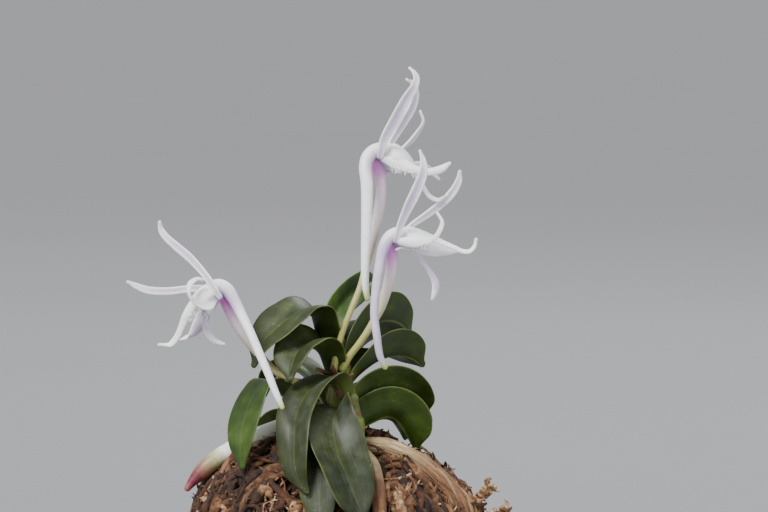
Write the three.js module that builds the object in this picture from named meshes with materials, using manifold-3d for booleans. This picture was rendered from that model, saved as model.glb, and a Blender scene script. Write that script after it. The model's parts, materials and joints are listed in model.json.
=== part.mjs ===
// A small potted wind orchid in flower: short leafy shoots and thick roots on a hump of dried moss,
// three long-spurred white blooms on slender stalks, and a plain round pot.
// Millimetres, +Z up, the origin at the middle of the pot's flat underside.
// +X is to the right and +Y to the back of the plant's best side.
import * as THREE from 'three';
import { mergeVertices } from 'three/addons/utils/BufferGeometryUtils.js';
import Module from 'manifold-3d';

const wasm = await Module();
wasm.setup();

// ---- Driving dimensions -------------------------------------------------------------------------
const GAP = 0.3; // between two pieces that touch on the real plant
const BLADE_STATIONS = 8; // cross-sections along a leaf
const TEPAL_STATIONS = 8; // cross-sections along a sepal or petal

const POT = {
  height: 56,
  baseRadius: 24,
  rimRadius: 37,
  wall: 3,
  floor: 4,
  rimHeight: 5,
  rimLip: 1.6,
  sides: 32,
  drainRadius: 2.5,
  drainCircle: 11,
  drains: 3,
};

const MOSS = {
  top: 77.8, // height of the hump's crown
  depthScale: 0.95, // the hump is a little narrower from front to back
  tilt: [0.11, 0.06], // and leans down to the right and to the back
  centre: [-1.2, -1],
  sides: 26,
  strands: 28,
  strandRadius: [1.15, 1.7],
  strandLength: [9, 17],
  strandArch: [1, 2.3],
  seed: 11,
};
// The hump's outline above the rim, as radius and height.
const MOSS_OUTLINE = [
  [31, 56],
  [29.4, 60],
  [26.6, 65],
  [23.4, 69.2],
  [17.6, 73.4],
  [10.4, 76.6],
  [5, 77.5],
];

const LEAF = { thickness: 1.4, edge: 0.7, arch: -14, columns: 5 };
const TEPAL = { thickness: 0.85, edge: 0.65, fold: 12, arch: 6, columns: 3 };
const LIP = { thickness: 0.9, edge: 0.65, hoodArch: -105, tongueArch: -25, columns: 5 };

const COLOURS = {
  leaf: [0x2f4423, 0.45],
  stem: [0x63702f, 0.6],
  stalk: [0x8b8a4f, 0.55],
  bract: [0x8a3a2c, 0.8],
  tepal: [0xe6e1ec, 0.5],
  lip: [0xeff2ee, 0.45],
  column: [0xe3c8e2, 0.5],
  rootLive: [0xcfd6c4, 0.6],
  rootOld: [0xa88a66, 0.85],
  moss: [0x7a5436, 0.95],
  pot: [0x33302e, 0.4],
};

// ---- Small helpers ------------------------------------------------------------------------------
const radians = THREE.MathUtils.degToRad;
const lerp = THREE.MathUtils.lerp;

function seededRandom(seed) {
  let state = seed >>> 0;
  return () => {
    state = (state * 1664525 + 1013904223) >>> 0;
    return state / 4294967296;
  };
}

function curveThrough(points) {
  return new THREE.CatmullRomCurve3(points.map((p) => new THREE.Vector3(...p)), false, 'centripetal');
}

// The value at t of a list spread evenly from t = 0 to t = 1.
function profile(values, t) {
  const place = t * (values.length - 1);
  const i = Math.min(Math.floor(place), values.length - 2);
  return lerp(values[i], values[i + 1], place - i);
}

function solidFrom(vertices, triangles) {
  const geometry = new THREE.BufferGeometry();
  geometry.setAttribute('position', new THREE.Float32BufferAttribute(vertices, 3));
  geometry.setIndex(triangles);
  return solidOf(geometry);
}

function solidOf(geometry) {
  for (const name of ['normal', 'uv']) geometry.deleteAttribute(name);
  const merged = mergeVertices(geometry, 1e-4);
  return new wasm.Manifold(
    new wasm.Mesh({
      numProp: 3,
      vertProperties: new Float32Array(merged.attributes.position.array),
      triVerts: new Uint32Array(merged.index.array),
    }),
  );
}

function geometryOf(solid) {
  const mesh = solid.getMesh();
  const geometry = new THREE.BufferGeometry();
  geometry.setAttribute('position', new THREE.BufferAttribute(mesh.vertProperties.slice(), 3));
  geometry.setIndex(new THREE.BufferAttribute(mesh.triVerts.slice(), 1));
  geometry.computeVertexNormals();
  return geometry;
}

function largestBody(solid) {
  const bodies = solid.decompose();
  return bodies.reduce((best, body) => (body.volume() > best.volume() ? body : best));
}

// ---- Swept shapes -------------------------------------------------------------------------------
// A round rod along points, with radii spread along it. Its ends are rounded, or plain points.
function rod(points, radii, { sides = 7, steps = 12, grow = 0, flat = 1, round = true } = {}) {
  const curve = curveThrough(points);
  const frames = curve.computeFrenetFrames(steps, false);
  const rings = [];
  for (let i = 0; i <= steps; i += 1) {
    const t = i / steps;
    rings.push([curve.getPointAt(t), profile(radii, t) + grow, frames.normals[i], frames.binormals[i]]);
  }
  const roundEnd = (ring, tangent) => {
    const [point, radius, normal, binormal] = ring;
    return [point.clone().addScaledVector(tangent, radius * 0.6), radius * 0.7, normal, binormal];
  };
  const first = frames.tangents[0].clone().negate();
  const last = frames.tangents[steps];
  const poles = [
    rings[0][0].clone().addScaledVector(first, rings[0][1] * 0.95),
    rings[steps][0].clone().addScaledVector(last, rings[steps][1] * 0.95),
  ];
  if (round) {
    rings.unshift(roundEnd(rings[0], first));
    rings.push(roundEnd(rings[rings.length - 1], last));
  }
  const vertices = [];
  const triangles = [];
  for (const [point, radius, normal, binormal] of rings) {
    for (let k = 0; k < sides; k += 1) {
      const angle = (2 * Math.PI * k) / sides;
      const at = point
        .clone()
        .addScaledVector(normal, radius * Math.cos(angle))
        .addScaledVector(binormal, radius * flat * Math.sin(angle));
      vertices.push(at.x, at.y, at.z);
    }
  }
  for (const pole of poles) vertices.push(pole.x, pole.y, pole.z);
  const startPole = rings.length * sides;
  const endRing = (rings.length - 1) * sides;
  for (let k = 0; k < sides; k += 1) {
    const next = (k + 1) % sides;
    for (let i = 0; i < rings.length - 1; i += 1) {
      const a = i * sides;
      const b = a + sides;
      triangles.push(a + k, a + next, b + next, a + k, b + next, b + k);
    }
    triangles.push(startPole, next, k, startPole + 1, endRing + k, endRing + next);
  }
  return solidFrom(vertices, triangles);
}

// A blade along points. widths are half-widths spread along it, side gives the direction across it at
// each point of t, and the section is folded along the rib and arched from rib to edge, in degrees.
function blade(points, widths, side, { fold, arch, thickness, edge, columns, stations, grow = 0 }) {
  const curve = curveThrough(points);
  const vertices = [];
  const triangles = [];
  for (let i = 0; i <= stations; i += 1) {
    const t = i / stations;
    const point = curve.getPointAt(t);
    const tangent = curve.getTangentAt(t);
    const across = side(t, tangent);
    across.addScaledVector(tangent, -across.dot(tangent)).normalize();
    const up = new THREE.Vector3().crossVectors(across, tangent);
    if (i === 0) point.addScaledVector(tangent, -grow);
    if (i === stations) point.addScaledVector(tangent, grow);
    const half = profile(widths, t) + grow;
    const tilt = radians(fold(t));
    const bend = radians(arch(t)) || 1e-6;
    const rows = [[], []];
    for (let c = 0; c < columns; c += 1) {
      const u = (2 * c) / (columns - 1) - 1;
      const reach = Math.abs(u);
      const sign = Math.sign(u);
      const angle = tilt + bend * reach;
      const x = (sign * half * (Math.sin(angle) - Math.sin(tilt))) / bend;
      const y = (-half * (Math.cos(angle) - Math.cos(tilt))) / bend;
      const deep = lerp(thickness, edge, reach) / 2 + grow;
      const lean = sign === 0 ? 0 : -sign * Math.sin(angle);
      const rise = sign === 0 ? 1 : Math.cos(angle);
      for (const [row, way] of [[0, 1], [1, -1]]) {
        const at = point
          .clone()
          .addScaledVector(across, x + way * deep * lean)
          .addScaledVector(up, y + way * deep * rise);
        rows[row].push(at.x, at.y, at.z);
      }
    }
    vertices.push(...rows[0], ...rows[1]);
  }
  const ring = 2 * columns;
  const quad = (a, b, c, d) => triangles.push(a, b, c, a, c, d);
  for (let i = 0; i < stations; i += 1) {
    const a = i * ring;
    const b = a + ring;
    for (let c = 0; c < columns - 1; c += 1) {
      quad(a + c + 1, a + c, b + c, b + c + 1);
      const low = a + columns + c;
      triangles.push(low, low + 1, low + ring, low + 1, low + ring + 1, low + ring);
    }
    const last = columns - 1;
    quad(a, a + columns, b + columns, b);
    quad(a + columns + last, a + last, b + last, b + columns + last);
  }
  const end = stations * ring;
  for (let c = 0; c < columns - 1; c += 1) {
    quad(c, c + 1, columns + c + 1, columns + c);
    quad(end + c + 1, end + c, end + columns + c, end + columns + c + 1);
  }
  const made = solidFrom(vertices, triangles);
  return made.volume() > 0 ? made : solidFrom(vertices, [...triangles].reverse());
}

// Half-widths along a leaf: a narrow clasping base, a broad middle and a blunt point.
function leafWidths(half) {
  return [0.55, 0.62, 0.76, 0.89, 0.97, 1, 0.97, 0.87, 0.64, 0.16].map((share) => share * half);
}

// A leaf arches out from its shoot in an upright plane; roll turns its upper face about its rib.
function leaf({ spine, half, roll, fold }, grow) {
  const out = new THREE.Vector3(...spine[spine.length - 1]).sub(new THREE.Vector3(...spine[0])).setZ(0);
  out.normalize();
  const across = new THREE.Vector3(out.y, -out.x, 0);
  const side = (t, tangent) => {
    const turn = radians(profile(roll, t));
    const up = new THREE.Vector3().crossVectors(across, tangent).normalize();
    return across.clone().multiplyScalar(Math.cos(turn)).addScaledVector(up, Math.sin(turn));
  };
  return blade(spine, leafWidths(half), side, {
    fold: (t) => profile(fold, t),
    arch: () => LEAF.arch,
    thickness: LEAF.thickness,
    edge: LEAF.edge,
    columns: LEAF.columns,
    stations: BLADE_STATIONS,
    grow,
  });
}

// A sepal or petal: a slender strap that may twist, with side its direction across at root and tip.
function tepal({ spine, widths, side }, grow) {
  const [root, tip] = [side[0], side[side.length - 1]].map((v) => new THREE.Vector3(...v));
  return blade(spine, widths, (t) => root.clone().lerp(tip, t), {
    fold: () => TEPAL.fold,
    arch: () => TEPAL.arch,
    thickness: TEPAL.thickness,
    edge: TEPAL.edge,
    columns: TEPAL.columns,
    stations: TEPAL_STATIONS,
    grow,
  });
}

// The lip: a hood over the column that runs out into a narrow tongue, and the hollow spur behind it.
function lip({ spur, spurRadii, spine, widths, side }, grow) {
  const hood = blade(spine, widths, () => new THREE.Vector3(...side), {
    fold: () => 0,
    arch: (t) => lerp(LIP.hoodArch, LIP.tongueArch, Math.min(1, t / 0.6)),
    thickness: LIP.thickness,
    edge: LIP.edge,
    columns: LIP.columns,
    stations: TEPAL_STATIONS,
    grow,
  });
  return largestBody(hood.add(rod(spur, spurRadii, { sides: 6, steps: 13, grow })));
}

// ---- The plant's own measures -------------------------------------------------------------------
// Leaves, each by the line of its rib. roll turns the blade about its rib and fold is the rise of each half
// from flat, both in degrees and spread from shoot to tip. Names go by shoot and side.
const LEAVES = {
  leaf_main_left_1: {
    spine: [[-1.2, -5.7, 89.3], [-3.5, -5.9, 95.8], [-4.7, -6.4, 100.5], [-5.5, -7.3, 103.1], [-7.1, -8.9, 103.6],
      [-9.4, -10.7, 102.4], [-12.2, -12.2, 100.5], [-14.9, -13.4, 97.8], [-16.8, -14.6, 93.9]],
    half: 6.5,
    roll: [-8, -6, 3, 15, -4],
    fold: [34, 20],
  },
  leaf_main_left_2: {
    spine: [[-1.1, -7.5, 87], [-2.6, -8.1, 92.2], [-4.1, -10, 96.1], [-6.1, -13, 97.4], [-8.1, -15.9, 96],
      [-9, -18.5, 93.8], [-9.6, -20.3, 91.6]],
    half: 5.66,
    roll: [42, 34, 14, 0, -6],
    fold: [49, 29],
  },
  leaf_main_left_3: {
    spine: [[-0.4, -6.6, 80.8], [-5, -7.2, 83.1], [-8.9, -8, 85.5], [-12.2, -8.9, 87.9], [-14.7, -10, 89.4],
      [-16.4, -11.3, 87.6], [-18.1, -13.4, 84], [-19.2, -15.6, 79.5], [-19.2, -17.7, 73.8]],
    half: 5.2,
    roll: [-8, -12, -8, 8, 12],
    fold: [22, 13],
  },
  leaf_main_right_1: {
    spine: [[-0.2, -4, 91.5], [-1.8, -3.4, 97.3], [-1.4, -1.1, 102], [0.8, 2.9, 105.2], [3.6, 6.9, 107.1],
      [6, 10.6, 107.6], [7.8, 13.8, 106.4]],
    half: 3.5,
    roll: [-18, -38, -62, -44],
    fold: [55, 32],
  },
  leaf_main_right_2: {
    spine: [[0.6, -4, 89.4], [1.6, -2.8, 94.7], [4, 0, 98.2], [6.9, 3.1, 100.3], [9.9, 7, 100.5], [12.4, 11, 99],
      [14, 14.1, 96.7]],
    half: 6.19,
    roll: [12, 38, 52],
    fold: [52, 31],
  },
  leaf_main_right_3: {
    spine: [[0.9, -4.1, 86.9], [2.5, -3.1, 89.5], [5.2, -1, 91.8], [8.1, 1.5, 93.3], [11.4, 4.6, 93.6],
      [14.3, 7.5, 92.6], [16.6, 10, 90.7]],
    half: 6.04,
    roll: [4, 24, 46],
    fold: [54, 32],
  },
  leaf_main_right_4: {
    spine: [[1, -4.2, 83.9], [2.9, -3.5, 85.2], [5.4, -1.3, 86.6], [8.7, 0.8, 87], [12, 3.1, 86.3],
      [15.1, 5.8, 84.2], [17.4, 8.1, 81.1]],
    half: 5.9,
    roll: [28, 22, -6],
    fold: [49, 29],
  },
  leaf_main_right_5: {
    spine: [[1.1, -4.7, 79.7], [3.7, -5.3, 79.9], [6.5, -4.9, 81.2], [9.4, -4, 82.2], [11.8, -2.7, 81],
      [13.6, -1.6, 78.2], [15.3, -0.3, 74.9]],
    half: 6.82,
    roll: [42, 32, 20],
    fold: [55, 32],
  },
  leaf_front_left: {
    spine: [[1.3, -10.7, 84.2], [0.3, -11.5, 88.2], [-1.2, -13.6, 90.3], [-3.6, -16.7, 89.9], [-6.2, -20.1, 88.1],
      [-8, -23.4, 84.8], [-8.3, -27, 79.6], [-8, -28.5, 74.8], [-6.2, -29.2, 70.7]],
    half: 4.43,
    roll: [-6, -9, -9, -16, -9],
    fold: [35, 20],
  },
  leaf_front_middle: {
    spine: [[2.2, -12.4, 81.2], [0.9, -15.2, 84.1], [-0.6, -18.9, 84.2], [-1.2, -22.4, 81.5], [-0.6, -26, 77.8],
      [0.9, -28.3, 74.4], [2.4, -29.7, 70.8], [4.8, -30.6, 65.5]],
    half: 6.28,
    roll: [-24, -18, 8, 19, 15],
    fold: [58, 50, 34, 28, 24, 22],
  },
  leaf_front_low: {
    spine: [[1.4, -12, 78.6], [-1.1, -17, 80.9], [-3.2, -21.5, 78.3], [-3.9, -26, 74.1], [-3.6, -28.6, 69.1],
      [-3.2, -30.5, 63.3]],
    half: 4.3,
    roll: [1, -1, -5],
    fold: [29, 17],
  },
  leaf_back_left_1: {
    spine: [[-2, 3, 80.4], [-6, 5.5, 87.6], [-10, 8.5, 90.2], [-13.6, 11.5, 88.6], [-16, 13.6, 84]],
    half: 4.5,
    roll: [0, 0],
    fold: [48, 28],
  },
  leaf_back_left_2: {
    spine: [[-2, 3, 77], [-5.6, 3, 78.6], [-9.6, 3.4, 80.2], [-13, 4, 80.4], [-15.6, 4, 78.9], [-16.8, 3.8, 76.4]],
    half: 3.6,
    roll: [0, -16],
    fold: [48, 28],
  },
  leaf_back_right_1: {
    spine: [[-0.7, 3.5, 82], [0.9, 4.7, 89.4], [3.3, 7, 94.2], [6.5, 10.6, 96.5], [9.6, 13.9, 96.3],
      [12.3, 16.8, 93.7]],
    half: 5.02,
    roll: [24, 22, 11],
    fold: [52, 30],
  },
  leaf_back_right_2: {
    spine: [[-0.6, 3.8, 77.4], [3, 5.6, 78.4], [6.6, 8.4, 79.6], [9.6, 11.4, 79.6], [12, 14.2, 77.6],
      [13.2, 16, 74.6]],
    half: 4.2,
    roll: [0, 10],
    fold: [48, 28],
  },
  leaf_back_middle: {
    spine: [[-1.6, 4.8, 79.4], [-2.6, 10.6, 85], [-3.8, 16, 85.4], [-4.8, 20.4, 81.8], [-5.4, 23, 76]],
    half: 4.7,
    roll: [0, 0],
    fold: [48, 28],
  },
};

// Shoots: short stems wrapped in the bases of old leaves, which swell at each joint.
const SHOOTS = {
  shoot_main: {
    spine: [[0.5, -5, 68], [0.3, -5, 78], [0.2, -4.8, 88], [0, -4.6, 97]],
    radii: [2.2, 2.4, 2.9, 2.5, 2.9, 2.4, 2.7, 2.2, 2.4, 1.7, 1.2],
  },
  shoot_front: {
    spine: [[2.6, -9.8, 68], [2.6, -10.6, 77], [2.5, -11.6, 86.5]],
    radii: [1.8, 2.1, 2.4, 2, 2.3, 1.9, 1.2],
  },
  shoot_back: {
    spine: [[-1, 2, 68], [-1.3, 3, 77], [-1.6, 3.8, 86]],
    radii: [1.8, 2.1, 2.5, 2.1, 2.4, 1.9, 1.2],
  },
};

// The flowering stem and the papery red bracts where its flower stalks part.
const FLOWERING_STEM = { spine: [[-0.6, -8, 84.6], [-0.8, -9.4, 88], [-0.9, -10, 90.8]], radii: [1, 1.1, 1.2] };
const BRACTS = [
  [[-0.9, -10, 90.4], [-2.8, -10.9, 91.6], [-4.6, -11.2, 92.4]],
  [[-0.9, -10.2, 90.2], [0.8, -11.6, 90.4], [2.6, -12.2, 91.6]],
  [[-0.9, -9.9, 90.6], [-1.2, -11.6, 91.4], [-1.4, -12.4, 93.2]],
  [[-0.9, -10, 89.8], [-0.2, -11.8, 88], [0.3, -12.3, 86.2]],
];

// Roots that lie over the hump. The two in front of the others are given by hand, as they grew.
const ROOTS = {
  root_live_left: {
    spine: [[-2.2, -8, 77.6], [-5, -7, 80.6], [-9, -5.6, 80.6], [-13, -5, 79.2], [-18.3, -4.6, 77],
      [-23.3, -4.8, 74.3], [-27, -5.4, 71.8], [-29.6, -6, 69.2], [-30.9, -6.4, 67.6]],
    radii: [1.5, 1.9, 2, 2, 1.95, 1.9, 1.9, 1.6, 0.7],
    live: true,
  },
  root_old_right: {
    spine: [[3.9, -6.4, 76.6], [6.2, -6.8, 76.4], [9, -7.4, 76.2], [12.2, -8, 75.2], [15.6, -8.6, 73.6],
      [19, -9.4, 71], [22.2, -10.2, 67.9], [24.6, -11.2, 64.8], [26.4, -12, 60.8], [27.4, -12.4, 57.4]],
    radii: [1.5, 1.75, 1.85, 1.8, 1.8, 1.9, 1.8, 1.7, 1.4, 1.1],
  },
  root_old_front_right: {
    spine: [[4.6, -12.6, 75.6], [6, -17, 74.8], [7.2, -21.6, 72], [7.9, -25.4, 67.6], [7.8, -27.8, 62.6],
      [7.2, -29, 58]],
    radii: [1.2, 1.4, 1.45, 1.4, 1.3, 1.1],
  },
};
// The rest leave the foot of the plant on a compass bearing and follow the hump down.
const ROOT_BEARINGS = [
  { name: 'root_old_front_left', bearing: -148, swing: -16, from: 9, to: 27.5, radius: 1.4 },
  { name: 'root_live_back_left', bearing: 152, swing: 18, from: 7, to: 28.5, radius: 1.7, live: true },
  { name: 'root_live_back_right', bearing: 40, swing: 16, from: 8, to: 28, radius: 1.6, live: true },
];

// Blooms, each by its stalk, column, lip with spur, three sepals and two petals.
const BLOOMS = {
  upper: {
    stalk: [[-1.2, -10.2, 92.4], [-0.6, -9.8, 96], [0.6, -9.2, 100], [2.2, -8.6, 104], [4, -8, 108.5],
      [6.2, -7, 117], [7.6, -6, 123], [8.2, -5.2, 127.6], [8, -4.8, 130.8], [7.5, -4.8, 133.6]],
    stalkRadii: [0.75, 0.65, 0.6, 0.6, 0.62, 0.85, 1.02, 1.1, 1.05, 1.5],
    column: [[8.4, -5.4, 133.8], [9.4, -5.6, 133.2], [10.2, -5.8, 132.7]],
    lip: {
      spur: [[10.6, -6, 135.1], [8.9, -6.3, 136.05], [7, -7, 135.8], [5.6, -8.2, 134.6], [5.1, -9.4, 132.6],
        [5.4, -10.6, 129.4], [5.3, -11.6, 121.6], [5.1, -12, 115], [5.1, -12, 109.2], [5.5, -11.8, 106.6]],
      spurRadii: [1.5, 1.42, 1.35, 1.28, 1.22, 1.15, 1.07, 1, 0.92, 0.84, 0.72, 0.55],
      spine: [[9, -6, 136.4], [10.8, -6, 136.8], [12.3, -6, 136], [13.7, -6, 134.5], [14.9, -6, 132.4],
        [15.8, -6, 130.4], [16.8, -6, 128.2], [18, -6.2, 126.6], [19.6, -6.5, 125.9], [21.4, -6.8, 126.8]],
      widths: [2.6, 3.5, 3.6, 2.8, 1.6, 0.95, 0.75, 0.75, 0.8, 0.75, 0.45],
      side: [-0.1, -1, -0.1],
    },
    sepal_near: {
      spine: [[8, -8.2, 134.8], [8.8, -8.7, 138], [10.9, -9.6, 142], [13, -10.6, 146], [14.8, -11.1, 148.8],
        [15.2, -11, 150.4], [14.7, -10.7, 151.6], [13.9, -10.4, 152.4]],
      widths: [0.72, 0.85, 1, 1.1, 1.15, 1.1, 1.05, 1, 0.85, 0.62, 0.3],
      side: [[1, 0.1, -0.5]],
    },
    sepal_far: {
      spine: [[9.2, -3.4, 135.6], [10.6, -1.6, 138], [12.55, 0.4, 141.2], [14.25, 1.6, 144.2], [15.05, 2, 146.8],
        [14.7, 1.6, 148.7], [13.4, 0.4, 149.8]],
      widths: [0.75, 0.82, 0.9, 1, 1.1, 1.15, 1.15, 1.05, 0.85, 0.6, 0.3],
      side: [[0.7, 0.7, -0.4]],
    },
    petal_far: {
      spine: [[9.9, -3, 134.6], [12.9, -0.4, 136.4], [15.3, 2.6, 138.9], [16.7, 4.5, 141.3], [16.2, 5, 143.2]],
      widths: [0.6, 0.65, 0.7, 0.75, 0.85, 0.9, 0.85, 0.75, 0.65, 0.5, 0.3],
      side: [[0.35, 1, -0.2]],
    },
    petal_near: {
      spine: [[8.8, -8, 134.4], [10.6, -8.3, 133.8], [12.8, -8.7, 133], [15, -9.6, 132.2], [17.6, -11, 131.9],
        [20, -12, 132.5], [21.8, -12.4, 133.6]],
      widths: [0.9, 1.2, 1.35, 1.3, 1.1, 0.85, 0.75, 0.8, 0.9, 0.75, 0.35],
      side: [[0, 0.4, 1], [0.2, 0.3, 1]],
    },
    sepal_middle: {
      spine: [[9.8, -3.2, 131.6], [13, -2.2, 132], [16, -1, 132.6], [18.2, -0.4, 131.6], [20, 0.2, 129.6]],
      widths: [0.65, 0.7, 0.8, 0.9, 1, 1.05, 1.05, 0.95, 0.8, 0.6, 0.3],
      side: [[0, 0.6, 1]],
    },
  },
  lower: {
    stalk: [[0.4, -10.2, 92.4], [2, -10, 95], [4, -10, 97.6], [6.2, -10.4, 101], [8, -10.8, 104.4], [9.2, -11, 108],
      [10, -11, 111], [10.4, -11, 114], [10, -11, 117]],
    stalkRadii: [0.75, 0.7, 0.7, 0.7, 0.78, 0.95, 1.05, 1.12, 1.2, 1.3],
    column: [[11.4, -11.6, 117.4], [12.8, -11.8, 117.6], [14, -11.9, 117.3]],
    lip: {
      spur: [[13.4, -12, 118.9], [11.6, -12.3, 119.6], [9.9, -13, 118.9], [8.7, -13.8, 116.9], [7.9, -14.8, 113.2],
        [7.2, -15.4, 108.4], [6.9, -15.6, 103.6], [7.4, -15.6, 99.5], [8, -15, 95.6], [9, -14.2, 93.2]],
      spurRadii: [1.5, 1.35, 1.2, 1.05, 0.98, 0.93, 0.88, 0.84, 0.8, 0.76, 0.7, 0.55],
      spine: [[11.8, -12, 120.2], [13.4, -12, 120.6], [16, -12, 120], [18.6, -12, 118.8], [20.8, -12, 117.7],
        [22.8, -12, 116.8], [24.4, -12, 116.1], [25.8, -12, 116.1], [26.8, -12, 117.1], [27.1, -12, 118.4]],
      widths: [2.3, 3.1, 3.3, 2.9, 1.8, 1.15, 1, 1, 0.95, 0.8, 0.45],
      side: [0, -1, -0.15],
    },
    sepal_near: {
      spine: [[11.2, -14, 118.4], [12, -14.6, 121.4], [13.4, -15.3, 124.8], [15, -16, 128.2], [16.4, -16.2, 131.8],
        [16.5, -15.9, 134.2], [15.9, -15.4, 136.3]],
      widths: [0.65, 0.72, 0.8, 0.92, 1.05, 1.12, 1.1, 1.02, 0.9, 0.6, 0.25],
      side: [[1, 0.1, -0.4]],
    },
    sepal_far: {
      spine: [[12.4, -9.6, 119.4], [14.5, -8.8, 121.2], [17.6, -7, 123.2], [20.5, -5.4, 125.4], [22.6, -4.4, 127.6],
        [23.7, -4.2, 129.6], [24, -4, 131.4]],
      widths: [0.6, 0.62, 0.68, 0.75, 0.82, 0.88, 0.92, 0.95, 0.9, 0.8, 0.45],
      side: [[0.6, 0.3, -0.8]],
    },
    petal_near: {
      spine: [[12, -14.4, 118.2], [14, -15.8, 118.3], [16.4, -17.4, 118.5], [18.6, -18.4, 119.4],
        [19.6, -18.8, 120.8], [20.1, -18.7, 122.5], [19.3, -18.2, 124.1]],
      widths: [0.85, 1.1, 1.2, 1.15, 1, 0.85, 0.75, 0.7, 0.65, 0.5, 0.3],
      side: [[-0.2, 0.3, 1], [-0.3, 0.9, 0.3]],
    },
    sepal_middle: {
      spine: [[11.4, -13.2, 116.6], [12.8, -13.6, 117.1], [14.6, -13.6, 116.3], [16.6, -13.6, 114],
        [18, -13.8, 112], [19, -14, 110], [19, -14, 108.4], [18.4, -14, 106.7]],
      widths: [0.5, 0.5, 0.5, 0.48, 0.48, 0.48, 0.52, 0.65, 0.76, 0.7, 0.35],
      side: [[1, 0.2, 0.4]],
    },
    petal_far: {
      spine: [[12.8, -8.8, 117.2], [15, -7.2, 117], [18, -5.4, 116.2], [21, -4, 115.6], [23.6, -3, 115.2]],
      widths: [0.8, 1.1, 1.4, 1.6, 1.7, 1.7, 1.6, 1.45, 1.15, 0.75, 0.3],
      side: [[0.1, 0.35, 1]],
    },
  },
  left: {
    stalk: [[-2.2, -10.4, 90.6], [-4.6, -10.8, 89.9], [-7.2, -11.4, 89.8], [-9.8, -12.2, 90.4],
      [-12.2, -13.2, 91.8], [-14.4, -13.6, 93.8], [-16.4, -14.2, 96.2], [-18.2, -15, 98.6], [-19.8, -15.6, 101],
      [-21.2, -15.8, 103.6], [-22.2, -15.8, 105.8], [-23, -15.6, 107.6]],
    stalkRadii: [0.75, 0.75, 0.72, 0.7, 0.7, 0.78, 0.9, 1, 1.08, 1.12, 1.15, 1.25],
    column: [[-24.2, -16.8, 107.2], [-25.4, -18.4, 105.9], [-26, -19.2, 105]],
    lip: {
      spur: [[-25.2, -18.2, 109.2], [-23.7, -17.6, 109.7], [-22.1, -17.8, 109], [-20.8, -18.6, 107.2],
        [-18.9, -20.2, 103.8], [-17.1, -22, 100.4], [-15.4, -23.8, 96.8], [-13.8, -25.4, 93.4],
        [-12.4, -26.6, 90.1], [-11, -27.4, 87]],
      spurRadii: [1.5, 1.35, 1.15, 1, 0.92, 0.86, 0.82, 0.78, 0.74, 0.66, 0.5],
      spine: [[-24.4, -17.6, 110.2], [-26, -19.6, 109.9], [-27.4, -21.2, 108.7], [-28.6, -22, 106.8],
        [-30, -21.6, 104.4], [-31, -21, 101.9], [-32, -20.6, 99.8], [-33.4, -20.2, 98.4], [-35.3, -20.2, 98.3]],
      widths: [1.9, 2.8, 2.9, 2.3, 1.5, 1.1, 0.9, 0.75, 0.75, 0.75, 0.45],
      side: [-0.75, 0.6, -0.1],
    },
    sepal_near: {
      spine: [[-23.4, -20.8, 107.9], [-24.5, -21, 109.6], [-25.9, -20.4, 111.7], [-29.1, -18.6, 115.1],
        [-32, -17, 117.4], [-34.2, -16.2, 119.3], [-35.2, -16, 120.8], [-35.4, -16.2, 122.2]],
      widths: [0.55, 0.66, 0.7, 0.72, 0.78, 0.84, 0.86, 0.82, 0.75, 0.65, 0.35],
      side: [[0.7, 0.1, 0.7]],
    },
    sepal_far: {
      spine: [[-25, -14.6, 108.8], [-27.5, -13.4, 108.8], [-30.4, -13, 108.6], [-34, -13, 108.2],
        [-38, -13.2, 108.4], [-40.2, -13.6, 109.2], [-42, -14.2, 110.2]],
      widths: [0.65, 0.7, 0.75, 0.78, 0.8, 0.8, 0.8, 0.8, 0.75, 0.6, 0.28],
      side: [[0, 0.3, 1]],
    },
    petal_near: {
      spine: [[-24.6, -20.6, 107.4], [-26, -22.6, 106.3], [-27.7, -24, 106.8], [-28.9, -24.8, 108.1],
        [-29.4, -24.8, 109.8], [-28.9, -24, 111.1], [-27.7, -23, 111.7], [-26.6, -22.4, 111.4]],
      widths: [0.8, 1.1, 1.25, 1.15, 0.95, 0.8, 0.75, 0.8, 0.75, 0.5, 0.3],
      side: [[0, 0.45, 1], [-0.6, 0.9, 0.1]],
    },
    petal_far: {
      spine: [[-25.2, -14.8, 106.4], [-26.6, -13.2, 104], [-27.8, -12.4, 101.4], [-29.4, -12, 99.4],
        [-31.6, -12, 98.4]],
      widths: [0.8, 1.05, 1.3, 1.5, 1.6, 1.6, 1.5, 1.25, 0.85, 0.5, 0.3],
      side: [[0.9, 0.1, 0.4]],
    },
    sepal_middle: {
      spine: [[-25.8, -17.2, 104.8], [-26.5, -18.8, 103.1], [-26, -19.3, 101], [-24.6, -19.6, 99.2],
        [-22.6, -19.6, 98.4]],
      widths: [0.5, 0.52, 0.55, 0.58, 0.62, 0.65, 0.65, 0.6, 0.5, 0.4, 0.25],
      side: [[1, 0.3, 0.4]],
    },
  },
};
const COLUMN_RADII = [0.9, 1.05, 1];
const TEPAL_NAMES = ['sepal_near', 'sepal_far', 'sepal_middle', 'petal_near', 'petal_far'];

// ---- Pot and moss -------------------------------------------------------------------------------
function innerRadius(height) {
  const share = (height - POT.floor) / (POT.height - POT.floor);
  return lerp(POT.baseRadius - POT.wall, POT.rimRadius - POT.rimLip - POT.wall, share);
}

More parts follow.
